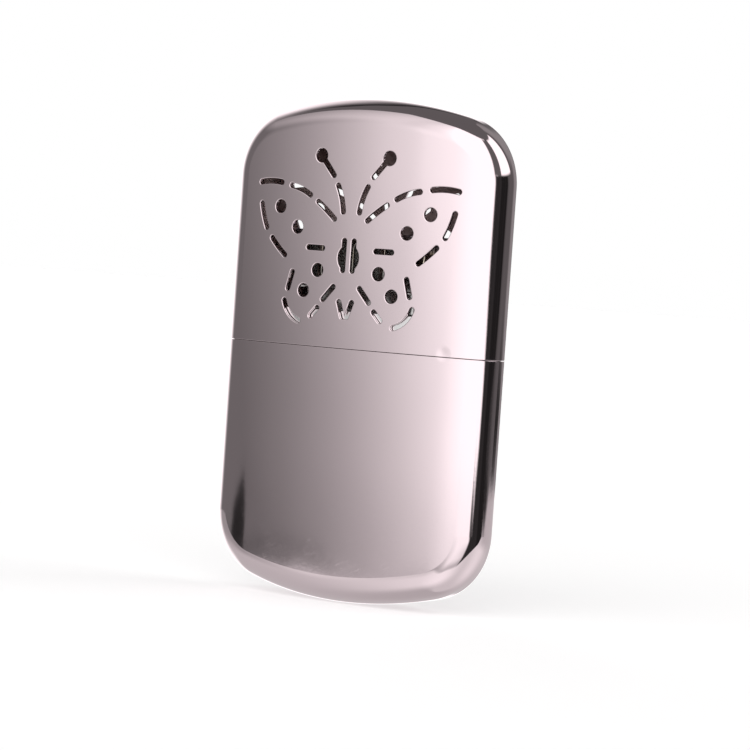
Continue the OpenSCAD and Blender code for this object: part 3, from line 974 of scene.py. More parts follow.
def ragged(lump, lump_size, fibre, fibre_size, folds=()):
    """Shapes a soft piece: soft lumps, fine fibres and level folds, all pressed inwards."""

    def roughen(points, normals):
        out = []
        for point, way in zip(points, normals):
            place = Vector(point)
            depth = lump * (0.5 + 0.5 * noise.noise(place / lump_size))
            depth += fibre * (0.5 + 0.5 * noise.noise(place / fibre_size))
            for height in folds:
                off = (point[2] - height + FOLD_WAVE * noise.noise(place / (12 * MM))) / FOLD_W
                depth += FOLD_DEPTH * math.exp(-off * off)
            out.append(point - way * max(depth, 0))
        return np.array(out)

    return roughen


def folds_between(low, high, count):
    """Heights of the folds of a pad that is folded count times."""
    return [low + (high - low) * (i + 1) / (count + 1) for i in range(count)]


class WARMER_OT_filling(bpy.types.Operator):
    """Builds the felt pad and the three cotton pads that hold the fuel"""

    bl_idname = "warmer.filling"
    bl_label = "Felt and cotton"

    def execute(self, context):
        form = CaseForm(context.scene.warmer_case)
        case, tank = context.scene.warmer_case, context.scene.warmer_tank
        low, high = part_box("wick_felt")
        skin = soft_block(oblong_ring(neck_half_length(), 14, 40), high.y, low.z, high.z,
                          0.5 * MM, 0.5 * MM)
        felt_pad = skin.build("felt_pad", ragged(0.06 * MM, 3 * MM, 0.05 * MM, 0.5 * MM))
        dress(felt_pad, "felt", "tank", "wick_felt", felt)
        mouth = case.edge_r - case.wall - tank.collar_step - tank.collar_wall
        belly = case.edge_r - case.wall
        gap = 3 * SEAT_GAP

        def ring(out):
            return form.section(out, 60)

        for name, node, out in (("cotton_top", "wadding_upper", mouth - SEAT_GAP - gap),
                                ("cotton_middle", "wadding_middle", belly - gap)):
            low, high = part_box(node)
            skin = soft_block(ring, out, low.z, high.z, 1.6 * MM, 1 * MM)
            pad(skin, name, node, folds_between(low.z, high.z, 3))
        pad(belly_pad(form, belly - gap), "cotton_foot", "wadding_lower",
            folds_between(foot_of("wadding_lower"), top_of("wadding_lower"), 4))
        return {"FINISHED"}


def pad(skin, name, node, folds):
    """Builds and dresses one cotton pad."""
    made = skin.build(name, ragged(0.5 * MM, 5 * MM, 0.12 * MM, 0.6 * MM, folds))
    dress(made, "cotton", "tank", node, cotton)


def belly_pad(form, grow):
    """The lowest pad, which fills the swollen foot of the tank."""
    skin = Skin()
    middle = form.half_h
    half = Half(middle, -1)
    rim = middle - top_of("wadding_lower")
    loop, _ = case_skin(skin, form, grow, 1, rim, half, (1.2 * MM, 1.2 * MM))
    cover(skin, [loop], top_of("wadding_lower"), 1, (1.2 * MM, 1.2 * MM))
    return skin


# ---- Burner ----

SIDES = (-1, 1)


def facing(side, distance, height=0.0):
    """Upright plane that looks to the front (-1) or the back (1)."""
    return Plane((0, side * distance, height), (-side, 0, 0), (0, 0, 1), (0, side, 0))


def endwise(side, distance, height=0.0):
    """Upright plane that looks to the left (-1) or the right (1)."""
    return Plane((side * distance, 0, height), (0, side, 0), (0, 0, 1), (side, 0, 0))


def slot_row(count, pitch, half_length, radius):
    """Outlines of a row of upright slots with round ends, each grown by its argument."""
    ring = oblong_ring(half_length, 12)
    return [
        lambda grow, i=i: ring(radius + grow)[0][:, ::-1] + (pitch * (i - (count - 1) / 2), 0)
        for i in range(count)
    ]


def grille_pitch(sizes):
    return (2 * half_width_of("cage_front") - 2 * sizes.fold) / sizes.slots


def ear(skin, side, distance, thick, low, high, low_r, high_r):
    """Upright ear of the folded sheet at one end of the cage."""
    half = half_depth_of("end_channel_right") / 2
    outline = rectangle((-half, low), (half, high), low_r, high_r)
    plate(skin, outline, [], endwise(side, distance - thick), thick, (CUT, FINE))


class WARMER_OT_skirt(bpy.types.Operator):
    """Builds the push-on skirt with its bead, shoulder and ears, and the vapour plate"""

    bl_idname = "warmer.skirt"
    bl_label = "Burner skirt"

    def execute(self, context):
        s, tank = context.scene.warmer_burner, context.scene.warmer_tank
        low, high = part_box("burner_skirt")
        shoulder, t, joint = foot_of("vapour_plate"), s.skirt_wall, 0.2 * MM
        bead = half_depth_of("end_channel_right")
        out, length_half = bead - s.bead_w, neck_half_length()
        skin = Skin()
        sweep(skin, oblong_ring(length_half), rounded([
            (out - t, low.z, BEND), (bead, low.z, 0.3 * MM), (bead, low.z + s.bead_h, 0.4 * MM),
            (out, low.z + s.bead_h, EASED), (out, shoulder - joint, 0),
            (out - t, shoulder - joint, 0),
        ]))
        throat = oblong_ring(length_half)
        hole = neck_radius(tank) - tank.neck_wall - t
        plate(skin, rectangle((-high.x, -bead), (high.x, bead), 0.6 * MM),
              [lambda grow: throat(hole + grow)[0]],
              Plane((0, 0, shoulder - t)), t, (0.1 * MM, EASED))
        for side in SIDES:
            ear(skin, side, high.x, t, shoulder - joint, high.z, 0.3 * MM, 1.2 * MM)
        dress(skin.build("skirt"), "burner_metal", "burner", "burner_skirt", burner_metal)
        self.vapour_plate(s)
        return {"FINISHED"}

    def vapour_plate(self, s):
        low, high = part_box("vapour_plate")
        columns = int((high.x - high.y - s.fold) / s.vapour_pitch)
        hole = circle_ring(24)
        holes = [
            lambda grow, i=i, j=j: hole(s.vapour_hole / 2 + grow)[0]
            + (i * s.vapour_pitch, j * s.vapour_pitch)
            for i in range(-columns, columns + 1) for j in (-0.5, 0.5)
        ]
        skin = Skin()
        plate(skin, rectangle((-high.x, -high.y), (high.x, high.y), 0.4 * MM), holes,
              Plane((0, 0, low.z)), high.z - low.z, (CUT, BEND))
        dress(skin.build("vapour_sieve"), "burner_metal", "burner", "vapour_plate", burner_metal)


class WARMER_OT_cage(bpy.types.Operator):
    """Builds the folded end channels and the two stamped grilles"""

    bl_idname = "warmer.cage"
    bl_label = "Cage"

    def execute(self, context):
        s = context.scene.warmer_burner
        for side, name in zip(SIDES, ("left", "right")):
            self.channel("end_channel_" + name, side, s)
        for side, name in zip(SIDES, ("front", "back")):
            self.grille("cage_" + name, "grille_" + name, side, s)
        return {"FINISHED"}

    def channel(self, node, side, s):
        x, y = half_width_of("end_channel_right"), half_depth_of(node)
        low, high = foot_of(node), top_of(node)
        tip, back, fold_y, r = x - s.fold, x - s.sheet, y - s.sheet, FINE
        outline = outline_of([
            (tip, -y, r), (x, -y, 0.6 * MM), (x, y, 0.6 * MM), (tip, y, r),
            (tip, fold_y, r), (back, fold_y, EASED), (back, -fold_y, EASED), (tip, -fold_y, r),
        ])
        skin = Skin()
        plate(skin, outline, [], Plane((0, 0, low), (side, 0, 0), (0, side, 0)), high - low,
              (CUT, CUT))
        dress(skin.build(node + "_sheet"), "burner_metal", "burner", node, burner_metal)

    def grille(self, node, name, side, s):
        low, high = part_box(node)
        half_h = (high.z - low.z) / 2
        pitch = grille_pitch(s)
        radius = (pitch - s.bar) / 2
        slots = slot_row(s.slots, pitch, half_h - s.margin - radius, radius)
        skin = Skin()
        plate(skin, rectangle((-high.x, -half_h), (high.x, half_h), 0.4 * MM), slots,
              facing(side, min(abs(low.y), abs(high.y)), (low.z + high.z) / 2),
              high.y - low.y, (0.05 * MM, 0.16 * MM))
        dress(skin.build(name), "burner_metal", "burner", node, burner_metal)


class WARMER_OT_gauzes(bpy.types.Operator):
    """Weaves the two wire gauzes"""

    bl_idname = "warmer.gauzes"
    bl_label = "Wire gauzes"

    def execute(self, context):
        s = context.scene.warmer_burner
        for side, name in zip(SIDES, ("front", "back")):
            node = "gauze_" + name
            low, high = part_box(node)
            depth = high.y - low.y
            plane = facing(side, (abs(low.y) + abs(high.y)) / 2, (low.z + high.z) / 2)
            skin = Skin()
            reach = (high.x - depth / 4, (high.z - low.z) / 2 - depth / 4)
            for axis in (0, 1):
                count = int(reach[1 - axis] / s.mesh)
                for i in range(-count, count + 1):
                    wire(skin, plane, axis, i, reach[axis], s.mesh, depth / 4)
            dress(skin.build("woven_" + name), "gauze_wire", "burner", node, gauze_wire)
        return {"FINISHED"}


def wire(skin, plane, axis, number, reach, mesh, radius, sides=6, steps=4):
    """One wire of the weave: along u (axis 0) or v (axis 1), over one crossing and under the next."""
    along, across = (plane.u, plane.v) if axis == 0 else (plane.v, plane.u)
    phase = math.pi * (number + axis)
    count = int(2 * reach / mesh) * steps
    turn = np.linspace(0, 2 * math.pi, sides, endpoint=False)[:, None]
    rows = []
    for place in np.linspace(-reach, reach, count + 1):
        swing = math.pi * place / mesh + phase
        centre = plane.origin + place * along + number * mesh * across
        centre = centre + radius * math.cos(swing) * plane.w
        slope = -radius * math.pi / mesh * math.sin(swing)
        up = plane.w - slope * along
        ways = np.cos(turn) * across + np.sin(turn) * up / np.linalg.norm(up)
        rows.append((centre, ways))
    ends = (rows[0][0], np.tile(-along, (sides, 1))), (rows[-1][0], np.tile(along, (sides, 1)))
    rings = [skin.add(np.tile(ends[0][0], (sides, 1)), ends[0][1])]
    rings += [skin.add(centre + radius * ways, ways) for centre, ways in rows]
    rings.append(skin.add(np.tile(ends[1][0], (sides, 1)), ends[1][1]))
    for a, b in zip(rings, rings[1:]):
        skin.bridge(a, b)


class WARMER_OT_catalyst(bpy.types.Operator):
    """Builds the fibre mat that carries the catalyst"""

    bl_idname = "warmer.catalyst"
    bl_label = "Catalyst mat"

    def execute(self, context):
        low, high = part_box("catalyst_mat")
        skin = soft_block(oblong_ring(high.x - high.y, 14, 60), high.y, low.z, high.z,
                          0.6 * MM, 0.4 * MM)
        mat = skin.build("fibre_mat", ragged(0.12 * MM, 2.5 * MM, 0.16 * MM, 0.45 * MM))
        dress(mat, "catalyst", "burner", "catalyst_mat", catalyst)
        return {"FINISHED"}


class WARMER_OT_strap(bpy.types.Operator):
    """Builds the folded strap that closes the cage"""

    bl_idname = "warmer.strap"
    bl_label = "Top strap"

    def execute(self, context):
        s = context.scene.warmer_burner
        low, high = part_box("top_strap")
        t, joint = s.skirt_wall, 0.15 * MM
        foot = high.z - t
        pitch = grille_pitch(s)
        radius = (pitch - s.bar) / 2
        skin = Skin()
        plate(skin, rectangle((-high.x, -high.y), (high.x, high.y), 0.8 * MM),
              slot_row(s.slots, pitch, half_depth_of("catalyst_mat") - radius, radius),
              Plane((0, 0, foot)), t, (0.05 * MM, 0.22 * MM))
        lip_x, lip_z = half_width_of("end_channel_right"), foot - s.margin / 2 - t
        lip = rectangle((-lip_x, lip_z), (lip_x, foot + joint), 0.3 * MM)
        for side in SIDES:
            plate(skin, lip, [], facing(side, high.y - t), t, (CUT, 0.16 * MM))
            ear(skin, side, high.x, t, low.z, foot + joint, 1.2 * MM, 0.3 * MM)
        dress(skin.build("strap"), "burner_metal", "burner", "top_strap", burner_metal)
        return {"FINISHED"}


class WARMER_OT_rivets(bpy.types.Operator):
    """Sets the four domed rivets"""

    bl_idname = "warmer.rivets"
    bl_label = "Rivets"

    def execute(self, context):
        s = context.scene.warmer_burner
        low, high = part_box("cage_rivets")
        ear_x = half_width_of("top_strap")
        head_h = high.x - ear_x
        head_r, shank = high.y, s.rivet / 2
        inside_x = ear_x - s.skirt_wall - s.sheet - SEAT_GAP
        dome_r = (head_r**2 + head_h**2) / (2 * head_h)
        reach = math.asin(head_r / dome_r)
        inner = inside_x - ear_x
        rows = rounded([
            (0, inner - head_h / 2, 0), (head_r, inner - head_h / 2, FINE),
            (head_r, inner, 0.05 * MM), (shank, inner, 0), (shank, 0, 0), (head_r, 0, 0),
        ], closed=False)
        for angle in np.linspace(reach, 0, 9):
            rows.append((dome_r * math.sin(angle), head_h - dome_r + dome_r * math.cos(angle),
                         math.sin(angle), math.cos(angle)))
        skin = Skin()
        for side in SIDES:
            for z in (low.z + head_r, high.z - head_r):
                sweep(skin, circle_ring(32), rows, closed=False, plane=endwise(side, ear_x, z))
        dress(skin.build("rivets"), "rivet_metal", "burner", "cage_rivets", rivet_metal)
        return {"FINISHED"}


# ---- Node graphs ----


class Graph:
    """Short ways to add nodes to a node tree."""

    def __init__(self, tree):
        self.tree = tree
        self.nodes = tree.nodes
        self.links = tree.links

    def node(self, kind, **settings):
        made = self.nodes.new(kind)
        for key, value in settings.items():
            setattr(made, key, value)
        return made

    def feed(self, socket, value):
        """Links value to the socket, or sets it there if it is a plain number."""
        if isinstance(value, bpy.types.NodeSocket):
            self.links.new(value, socket)
        else:
            socket.default_value = value

    def math(self, operation, first, *others):
        """Runs the operation over the values, from left to right."""
        for other in others or (0,):
            made = self.node("ShaderNodeMath", operation=operation)
            self.feed(made.inputs[0], first)
            self.feed(made.inputs[1], other)
            first = made.outputs[0]
        return first

    def plus(self, *values):
        return self.math("ADD", *values)

    def minus(self, *values):
        return self.math("SUBTRACT", *values)

    def times(self, *values):
        return self.math("MULTIPLY", *values)

    def over(self, value, divisor):
        return self.math("DIVIDE", value, divisor)

    def most(self, *values):
        return self.math("MAXIMUM", *values)

    def scaled(self, vector, factors):
        made = self.node("ShaderNodeVectorMath", operation="MULTIPLY")
        self.feed(made.inputs[0], vector)
        self.feed(made.inputs[1], factors)
        return made.outputs[0]

    def step(self, value, start, end, low=0.0, high=1.0):
        """low below start, high above end, smooth in between."""
        made = self.node("ShaderNodeMapRange", interpolation_type="SMOOTHSTEP")
        for label, number in (("Value", value), ("From Min", start), ("From Max", end),
                              ("To Min", low), ("To Max", high)):
            self.feed(made.inputs[label], number)
        return made.outputs["Result"]

    def mix(self, factor, a, b, kind="FLOAT"):
        made = self.node("ShaderNodeMix", data_type=kind)
        sockets = [s for s in made.inputs if s.enabled]
        for socket, value in zip(sockets, (factor, a, b)):
            self.feed(socket, value)
        return next(s for s in made.outputs if s.enabled)

    def tint(self, factor, *colours):
        """Colour between two, each a socket or red, green and blue."""
        pair = [c if isinstance(c, bpy.types.NodeSocket) else (*c, 1) for c in colours]
        return self.mix(factor, *pair, "RGBA")

    def cloud(self, place, scale, detail=2.0, rough=0.5, swirl=0.0):
        """Noise between 0 and 1 with features about 1 / scale apart."""
        made = self.node("ShaderNodeTexNoise")
        for label, number in (("Vector", place), ("Scale", scale), ("Detail", detail),
                              ("Roughness", rough), ("Distortion", swirl)):
            self.feed(made.inputs[label], number)
        return made.outputs[0]


class Paint(Graph):
    """Node graph of one material, around its Principled shader."""

    def __init__(self, material):
        super().__init__(material.node_tree)
        self.shader = self.nodes["Principled BSDF"]
        self.place = self.scaled(self.node("ShaderNodeTexCoord").outputs["Object"], (1 / MM,) * 3)

    def plain(self, **values):
        for name, value in values.items():
            self.shader.inputs[name.replace("_", " ")].default_value = value

    def drive(self, **values):
        for name, value in values.items():
            self.feed(self.shader.inputs[name.replace("_", " ")], value)

    def effect(self, tree, **values):
        """Places a shared effect with its own values; returns its outputs."""
        made = self.node("ShaderNodeGroup", node_tree=tree)
        self.feed(made.inputs["Place"], self.place)
        for name, value in values.items():
            self.feed(made.inputs[name], value)
        return made.outputs

    def bump(self, *heights):
        """Heights in millimetres, each with the depth of its full range."""
        made = self.node("ShaderNodeBump")
        self.feed(made.inputs["Height"], self.plus(*(self.times(*pair) for pair in heights)))
        made.inputs["Distance"].default_value = MM
        self.feed(self.shader.inputs["Normal"], made.outputs[0])


def painted(paint):
    """The material that paint makes, built once and named after it."""
    name = paint.__name__ + "_finish"
    found = bpy.data.materials.get(name)
    if found:
        return found
    made = bpy.data.materials.new(name)
    made.use_nodes = True
    paint(Paint(made))
    return made


def shared(name, inputs, outputs, wire_up):
    """Shader node group that several materials use, built once."""
    tree = bpy.data.node_groups.get(name)
    if tree:
        return tree
    tree = bpy.data.node_groups.new(name, "ShaderNodeTree")
    for label, default in (("Place", (0, 0, 0)), *inputs):
        kind = "NodeSocketFloat" if isinstance(default, (int, float)) else "NodeSocketVector"
        tree.interface.new_socket(label, in_out="INPUT", socket_type=kind).default_value = default
    for label in outputs:
        tree.interface.new_socket(label, in_out="OUTPUT", socket_type="NodeSocketFloat")
    graph = Graph(tree)
    given = graph.node("NodeGroupInput").outputs
    end = graph.node("NodeGroupOutput")
    for label, value in zip(outputs, wire_up(graph, given)):
        graph.feed(end.inputs[label], value)
    return tree


def polish():
    """Fine lines that buffing or rolling leaves, along the short side of Stretch."""

    def wire_up(g, given):
        place = g.scaled(given["Place"], given["Stretch"])
        broad = g.cloud(place, 1, 3, 0.6)
        fine = g.cloud(place, 4.7, 2, 0.5)
        return broad, g.times(g.plus(broad, fine), 0.5)

    return shared("polish", (("Stretch", (1.0, 1.0, 1.0)),), ("Broad", "Fine"), wire_up)


def smudges():
    """Soft marks of handling: 0 where clean, 1 in the middle of a mark."""

    def wire_up(g, given):
        cloud = g.cloud(given["Place"], g.over(1, given["Size"]), 4, 0.55, 0.6)
        edge = g.minus(0.72, given["Cover"])
        return (g.step(cloud, edge, g.plus(edge, 0.22)),)

    return shared("smudges", (("Size", 9.0), ("Cover", 0.2)), ("Mask",), wire_up)


def hairlines():
    """Sparse fine scratches that run two ways."""

    def wire_up(g, given):
        masks = []
        for turn, seed in ((0.5, 0.0), (-1.1, 31.0)):
            mapping = g.node("ShaderNodeMapping")
            g.feed(mapping.inputs["Vector"], given["Place"])
            mapping.inputs["Rotation"].default_value = (0.2, turn, 0.1)
            mapping.inputs["Location"].default_value = (seed, seed, seed)
            line = g.cloud(g.scaled(mapping.outputs[0], (0.13, 1.5, 5.5)), 1, 0, 0.5)
            away = g.math("ABSOLUTE", g.minus(line, 0.5))
            keep = g.step(g.cloud(mapping.outputs[0], 0.16, 1, 0.5), 0.56, 0.66)
            masks.append(g.times(keep, g.step(away, 0, given["Width"], 1.0, 0.0)))
        return (g.most(*masks),)

    return shared("hairlines", (("Width", 0.01),), ("Mask",), wire_up)


def specks():
    """Tiny round pits and dust, about one to a square of side Size."""

    def wire_up(g, given):
        cells = g.node("ShaderNodeTexVoronoi", feature="F1")
        g.feed(cells.inputs["Vector"], given["Place"])
        g.feed(cells.inputs["Scale"], g.over(1, given["Size"]))
        return (g.step(cells.outputs["Distance"], 0, given["Radius"], 1.0, 0.0),)

    return shared("specks", (("Size", 2.0), ("Radius", 0.05)), ("Mask",), wire_up)


def fibres():
    """Tangled fibres: their height, and the shade in the gaps between them."""

    def wire_up(g, given):
        scale = g.over(1, given["Size"])
        tangle = g.cloud(given["Place"], scale, 3, 0.6, given["Swirl"])
        strands = g.math("ABSOLUTE", g.minus(tangle, 0.5))
        height = g.step(strands, 0, 0.16, 1.0, 0.0)
        tufts = g.cloud(given["Place"], g.times(scale, 0.15), 3, 0.5)
        return height, g.times(g.step(tufts, 0.35, 0.7), height)

    return shared("fibres", (("Size", 0.3), ("Swirl", 2.0)), ("Height", "Tuft"), wire_up)


# ---- Materials ----


def finish():
    """Clean colours of the finishes, as the sidebar has them."""
    return bpy.context.scene.warmer_finish


def metal(p, clean, dark, rough, stretch, marks, scratch):
    """Sheet metal with polishing lines, handling marks and hairlines."""
    lines = p.effect(polish(), Stretch=stretch)
    mark = p.effect(smudges(), Cover=marks)["Mask"]
    hair = p.effect(hairlines())["Mask"]
    dust = p.effect(specks(), Size=2.6, Radius=0.022)["Mask"]
    stain = p.most(p.times(mark, 0.1), p.times(dust, 0.5))
    p.drive(Base_Color=p.tint(stain, clean, dark))
    p.drive(Roughness=p.plus(
        p.step(lines["Fine"], 0.3, 0.7, rough * 0.8, rough * 1.25),
        p.times(mark, rough * 0.5), p.times(hair, 0.02),
        p.step(lines["Broad"], 0.3, 0.7, 0.009, 0.0),
    ))
    p.plain(Metallic=1)
    return lines, [(hair, -scratch), (dust, 0.002)]


# Middle of the shallow dent beside the seam, its radius and its depth, in millimetres.
SEAM_DENT, DENT_RADIUS, DENT_DEPTH = (22.4, -6.4, 51.0), 1.8, 0.03


def case_metal(p):
    """Bright plated sheet: nearly a mirror, a little uneven from pressing."""
    lines, marks = metal(p, finish().case, (0.42, 0.33, 0.33), 0.045,
                         (3.1, 3.1, 0.12), 0.04, 0.0003)
    pressed = p.cloud(p.scaled(p.place, (1.0, 1.0, 0.45)), 0.09, 1, 0.5)
    orange = p.cloud(p.place, 1.1, 1, 0.5)
    away = p.node("ShaderNodeVectorMath", operation="DISTANCE")
    p.feed(away.inputs[0], p.place)
    away.inputs[1].default_value = SEAM_DENT
    dent = p.step(away.outputs["Value"], 0, DENT_RADIUS)
    p.bump((pressed, 0.02), (orange, 0.0006), (lines["Broad"], 0.0004), (dent, DENT_DEPTH),
           *marks)


def shaded_case_inside(p):
    """The case's inner skin, dull, its colour darkened to a brown as painted shade of the closed
    case's inside, darker still in cloudy patches.
    """
    soot = p.cloud(p.place, 0.12, 4, 0.6)
    # Both browns are painted shade of the case's inside; the cloudy mask mixes between them at
    # random.
    inside_shade = p.tint(p.step(soot, 0.35, 0.7), finish().inside, (0.45, 0.34, 0.33))
    lines = p.effect(polish(), Stretch=(0.2, 2.0, 2.0))
    p.drive(Base_Color=inside_shade, Roughness=p.step(lines["Broad"], 0.3, 0.7, 0.38, 0.55))
    p.plain(Metallic=0.85)
    p.bump((lines["Fine"], 0.006), (soot, 0.02))


def bright_metal(p):
    """Brighter plated sheet of the tank's mouth, rubbed along by the cap."""
    lines, marks = metal(p, finish().mouth, (0.5, 0.46, 0.42), 0.16,
                         (5.0, 5.0, 0.35), 0.24, 0.002)
    p.bump((lines["Fine"], 0.004), *marks)


# Heights in millimetres between which the heat tints the burner, and how much.
STRAW_TINT, BLUE_TINT = (66, 73, 0.0, 0.75), (73.5, 79, 0.0, 0.6)


def burner_metal(p):
    """Nickel-plated stampings, tinted straw and blue by the heat higher up."""
    lines, marks = metal(p, finish().burner, (0.36, 0.33, 0.29), 0.22,
                         (0.4, 4.0, 4.0), 0.26, 0.002)
    parts = p.node("ShaderNodeSeparateXYZ")
    p.feed(parts.inputs[0], p.place)
    height = p.plus(parts.outputs[2], p.times(p.cloud(p.place, 0.22, 3, 0.5), 9))
    plated = p.shader.inputs["Base Color"].links[0].from_socket
    straw = p.tint(p.step(height, *STRAW_TINT), plated, finish().straw)
    p.drive(Base_Color=p.tint(p.step(height, *BLUE_TINT), straw, finish().blue))
    p.bump((lines["Fine"], 0.004), *marks)


def rivet_metal(p):
    """Soft bright rivets with the marks of the setting tool."""
    rings = p.effect(polish(), Stretch=(8.0, 2.0, 2.0))
    dents = p.cloud(p.place, 1.6, 2, 0.5)
    shade = p.tint(p.step(dents, 0.4, 0.7), finish().rivets, (0.62, 0.6, 0.57))
    p.drive(Base_Color=shade, Roughness=p.step(rings["Broad"], 0.3, 0.7, 0.2, 0.36))
    p.plain(Metallic=1)
    p.bump((dents, 0.03), (rings["Fine"], 0.004))


def gauze_wire(p):
    """Woven wire, kept dark as painted shade of the burner's inside, and darker in heat-tinted
    patches.
    """
    burnt = p.cloud(p.place, 0.3, 3, 0.55)
    shade = p.tint(p.step(burnt, 0.35, 0.65), finish().gauze, (0.12, 0.1, 0.09))
    drawn = p.effect(polish(), Stretch=(2.0, 6.0, 2.0))
    p.drive(Base_Color=shade, Roughness=p.step(drawn["Broad"], 0.3, 0.7, 0.32, 0.5))
    p.plain(Metallic=1)


def soft(p, light, shade, size, depth, swirl):
    """Fibrous stuff, darker between its fibres."""
    tangle = p.effect(fibres(), Size=size, Swirl=swirl)
    mottled = p.cloud(p.place, 0.25, 3, 0.5)
    mask = p.plus(p.times(tangle["Height"], 0.6), p.times(mottled, 0.5))
    p.drive(Base_Color=p.tint(mask, shade, light),
            Roughness=p.step(tangle["Tuft"], 0, 1, 0.85, 1.0))
    p.plain(Sheen_Weight=0.25, Sheen_Roughness=0.5, Specular_IOR_Level=0.25)
    p.bump((tangle["Height"], depth), (tangle["Tuft"], depth))


def catalyst(p):
    """Glass-fibre mat, grey with the catalyst that it carries."""
    soft(p, finish().catalyst, (0.3, 0.285, 0.27), 0.22, 0.06, 3.0)


def felt(p):
    soft(p, finish().felt, (0.62, 0.57, 0.48), 0.3, 0.05, 2.0)


def cotton(p):
    soft(p, finish().cotton, (0.74, 0.72, 0.67), 0.5, 0.1, 3.5)


# ---- Stage ----

FLOOR_REACH, FLOOR_GAP = 6.0, 0.05 * MM
FLOOR_COLOUR, FLOOR_GLOW = (0.9, 0.89, 0.89, 1), 0.45
SENSOR_MM = 36

# Boards and openings of the studio, as the warmer sees them: left, right, low and
# high edge and the softness of the edges, in degrees, and the brightness. Azimuth 0
# is straight in front of the warmer and 90 on its right; the big light has brightness 1.
# The side window ends at its right in a softer edge of its own, WINDOW_RIGHT.
WALL_TOP, WINDOW_RIGHT = 61, (-105, 17)
STUDIO = {
    "big_light": (-200, 75, -90, 90, 1.5, 1.0),
    "dark_corner": (60.5, 90, 14, WALL_TOP, 2.5, 0.09),
    "second_light": (90, 143, 16, WALL_TOP, 2.0, 1.0),
    "dark_post": (146, 167, -3.9, -1.6, 1.2, 0.018),
    "side_window": (-158, 0, -27, 60, 4, 0.9),
    "thin_post": (57, 61, -5.6, -3.8, 0.5, 0.1),
    "thin_gap": (63.8, 68.8, -4.45, -3.8, 0.3, 0.55),
}
DARK_WALL, SIDE_WALL, WALL, CEILING, BLACK, DEEP_BLACK = 0.03, 0.08, 0.2, 0.09, 0.02, 0.011
# The dark line along the floor's far edge, and its end that runs down on the right.
FLOOR_LINE, LINE_END, LINE_END_SHADE = (-62, -13, -9, 0, 1), (-13, 46, -45, 0, 1), 0.57

# What changes over the azimuth or the elevation: each row is a sum of smooth steps, and
# a step runs from one angle to another and from one value to another.
OVER_AZIMUTH = {
    "behind": ((-180, -150, 1.0, 0.0),),
    "left_of_arch": ((-88, -84),),
    "front_least": ((-180, -155, WALL, 0.12),),
    "front_low": ((-14, 0, 0.67, 0.76),),
    "front_right": ((-14, -9, 1.0, 1.12),),
    "horizon": ((-38, -26, -5.77, -6.1), (88, 118, 0.0, 1.65), (-14, 20, 0.0, -0.2),
                (126, 141, 0.0, 0.65), (-160, -115, 1.7, 0.0)),
    "horizon_softness": ((-14, -2, 0.3, 16), (20, 45, 0, -15)),
    "floor_far": ((-60, -36, 0.25, 0.55), (-14, 18, 0.0, 0.3), (57, 130, 0.0, -0.45),
                  (-120, -90, 0.6, 0.0), (-180, -145, -0.45, 0.0)),
    "floor_near": ((-180, -145, 0.418, 0.4),),
    "floor_below": ((-20, 20, 0.36, 0.49), (140, 180, 0.0, -0.13)),
    "line_top": ((-38, -28, -5.15, -5.55),),
    "line_shade": ((-38, -30, 0.65, 0.95), (-22, -14, 0.0, -0.17)),
    "line_end": ((-15.5, 10, -5.8, -26.5), (5, 35, 0, -6)),
    "line_end_width": ((-14, 0, 0.4, 4.5),),
    "board": ((86, 94, BLACK, DEEP_BLACK),),
}
OVER_ELEVATION = {
    "glow_low": ((-3.5, 3),),
    "glow_high": ((12, 32),),
    "dip": ((-2, 0),),
    "board_left": ((-4.4, -3.3, 58.0, 71.0), (-2.5, 1.0, 0.0, -8.5)),
    "board_right": ((-4.2, -3.4, 132, 108), (-3.0, -0.8, 0.0, 14.0)),
    "stand_left": ((-4.8, -4.0, -56.7, -54.7),),
    "stand_right": ((-4.9, -4.0, -53.4, -54.3),),
    "stand_foot": ((-5.9, -5.6),),
}


class StudioLight(bpy.types.PropertyGroup):
    """The soft light of the studio."""

    strength: bpy.props.FloatProperty(
        name="Strength", description="Radiance of the big light", default=1.5,
    )
    backdrop: bpy.props.FloatVectorProperty(
        name="Backdrop", description="Colour of the backdrop behind the warmer",
        default=(1.0, 1.0, 1.0), subtype="COLOR",
    )


class WARMER_OT_stage(bpy.types.Operator):
    """Sets the floor, the studio light and the camera"""

    bl_idname = "warmer.stage"
    bl_label = "Stage"

    def execute(self, context):
        scene = context.scene
        scene.view_settings.view_transform = "Standard"
        studio_light(scene)
        pale_floor(scene)
        photo_camera(scene)
        return {"FINISHED"}


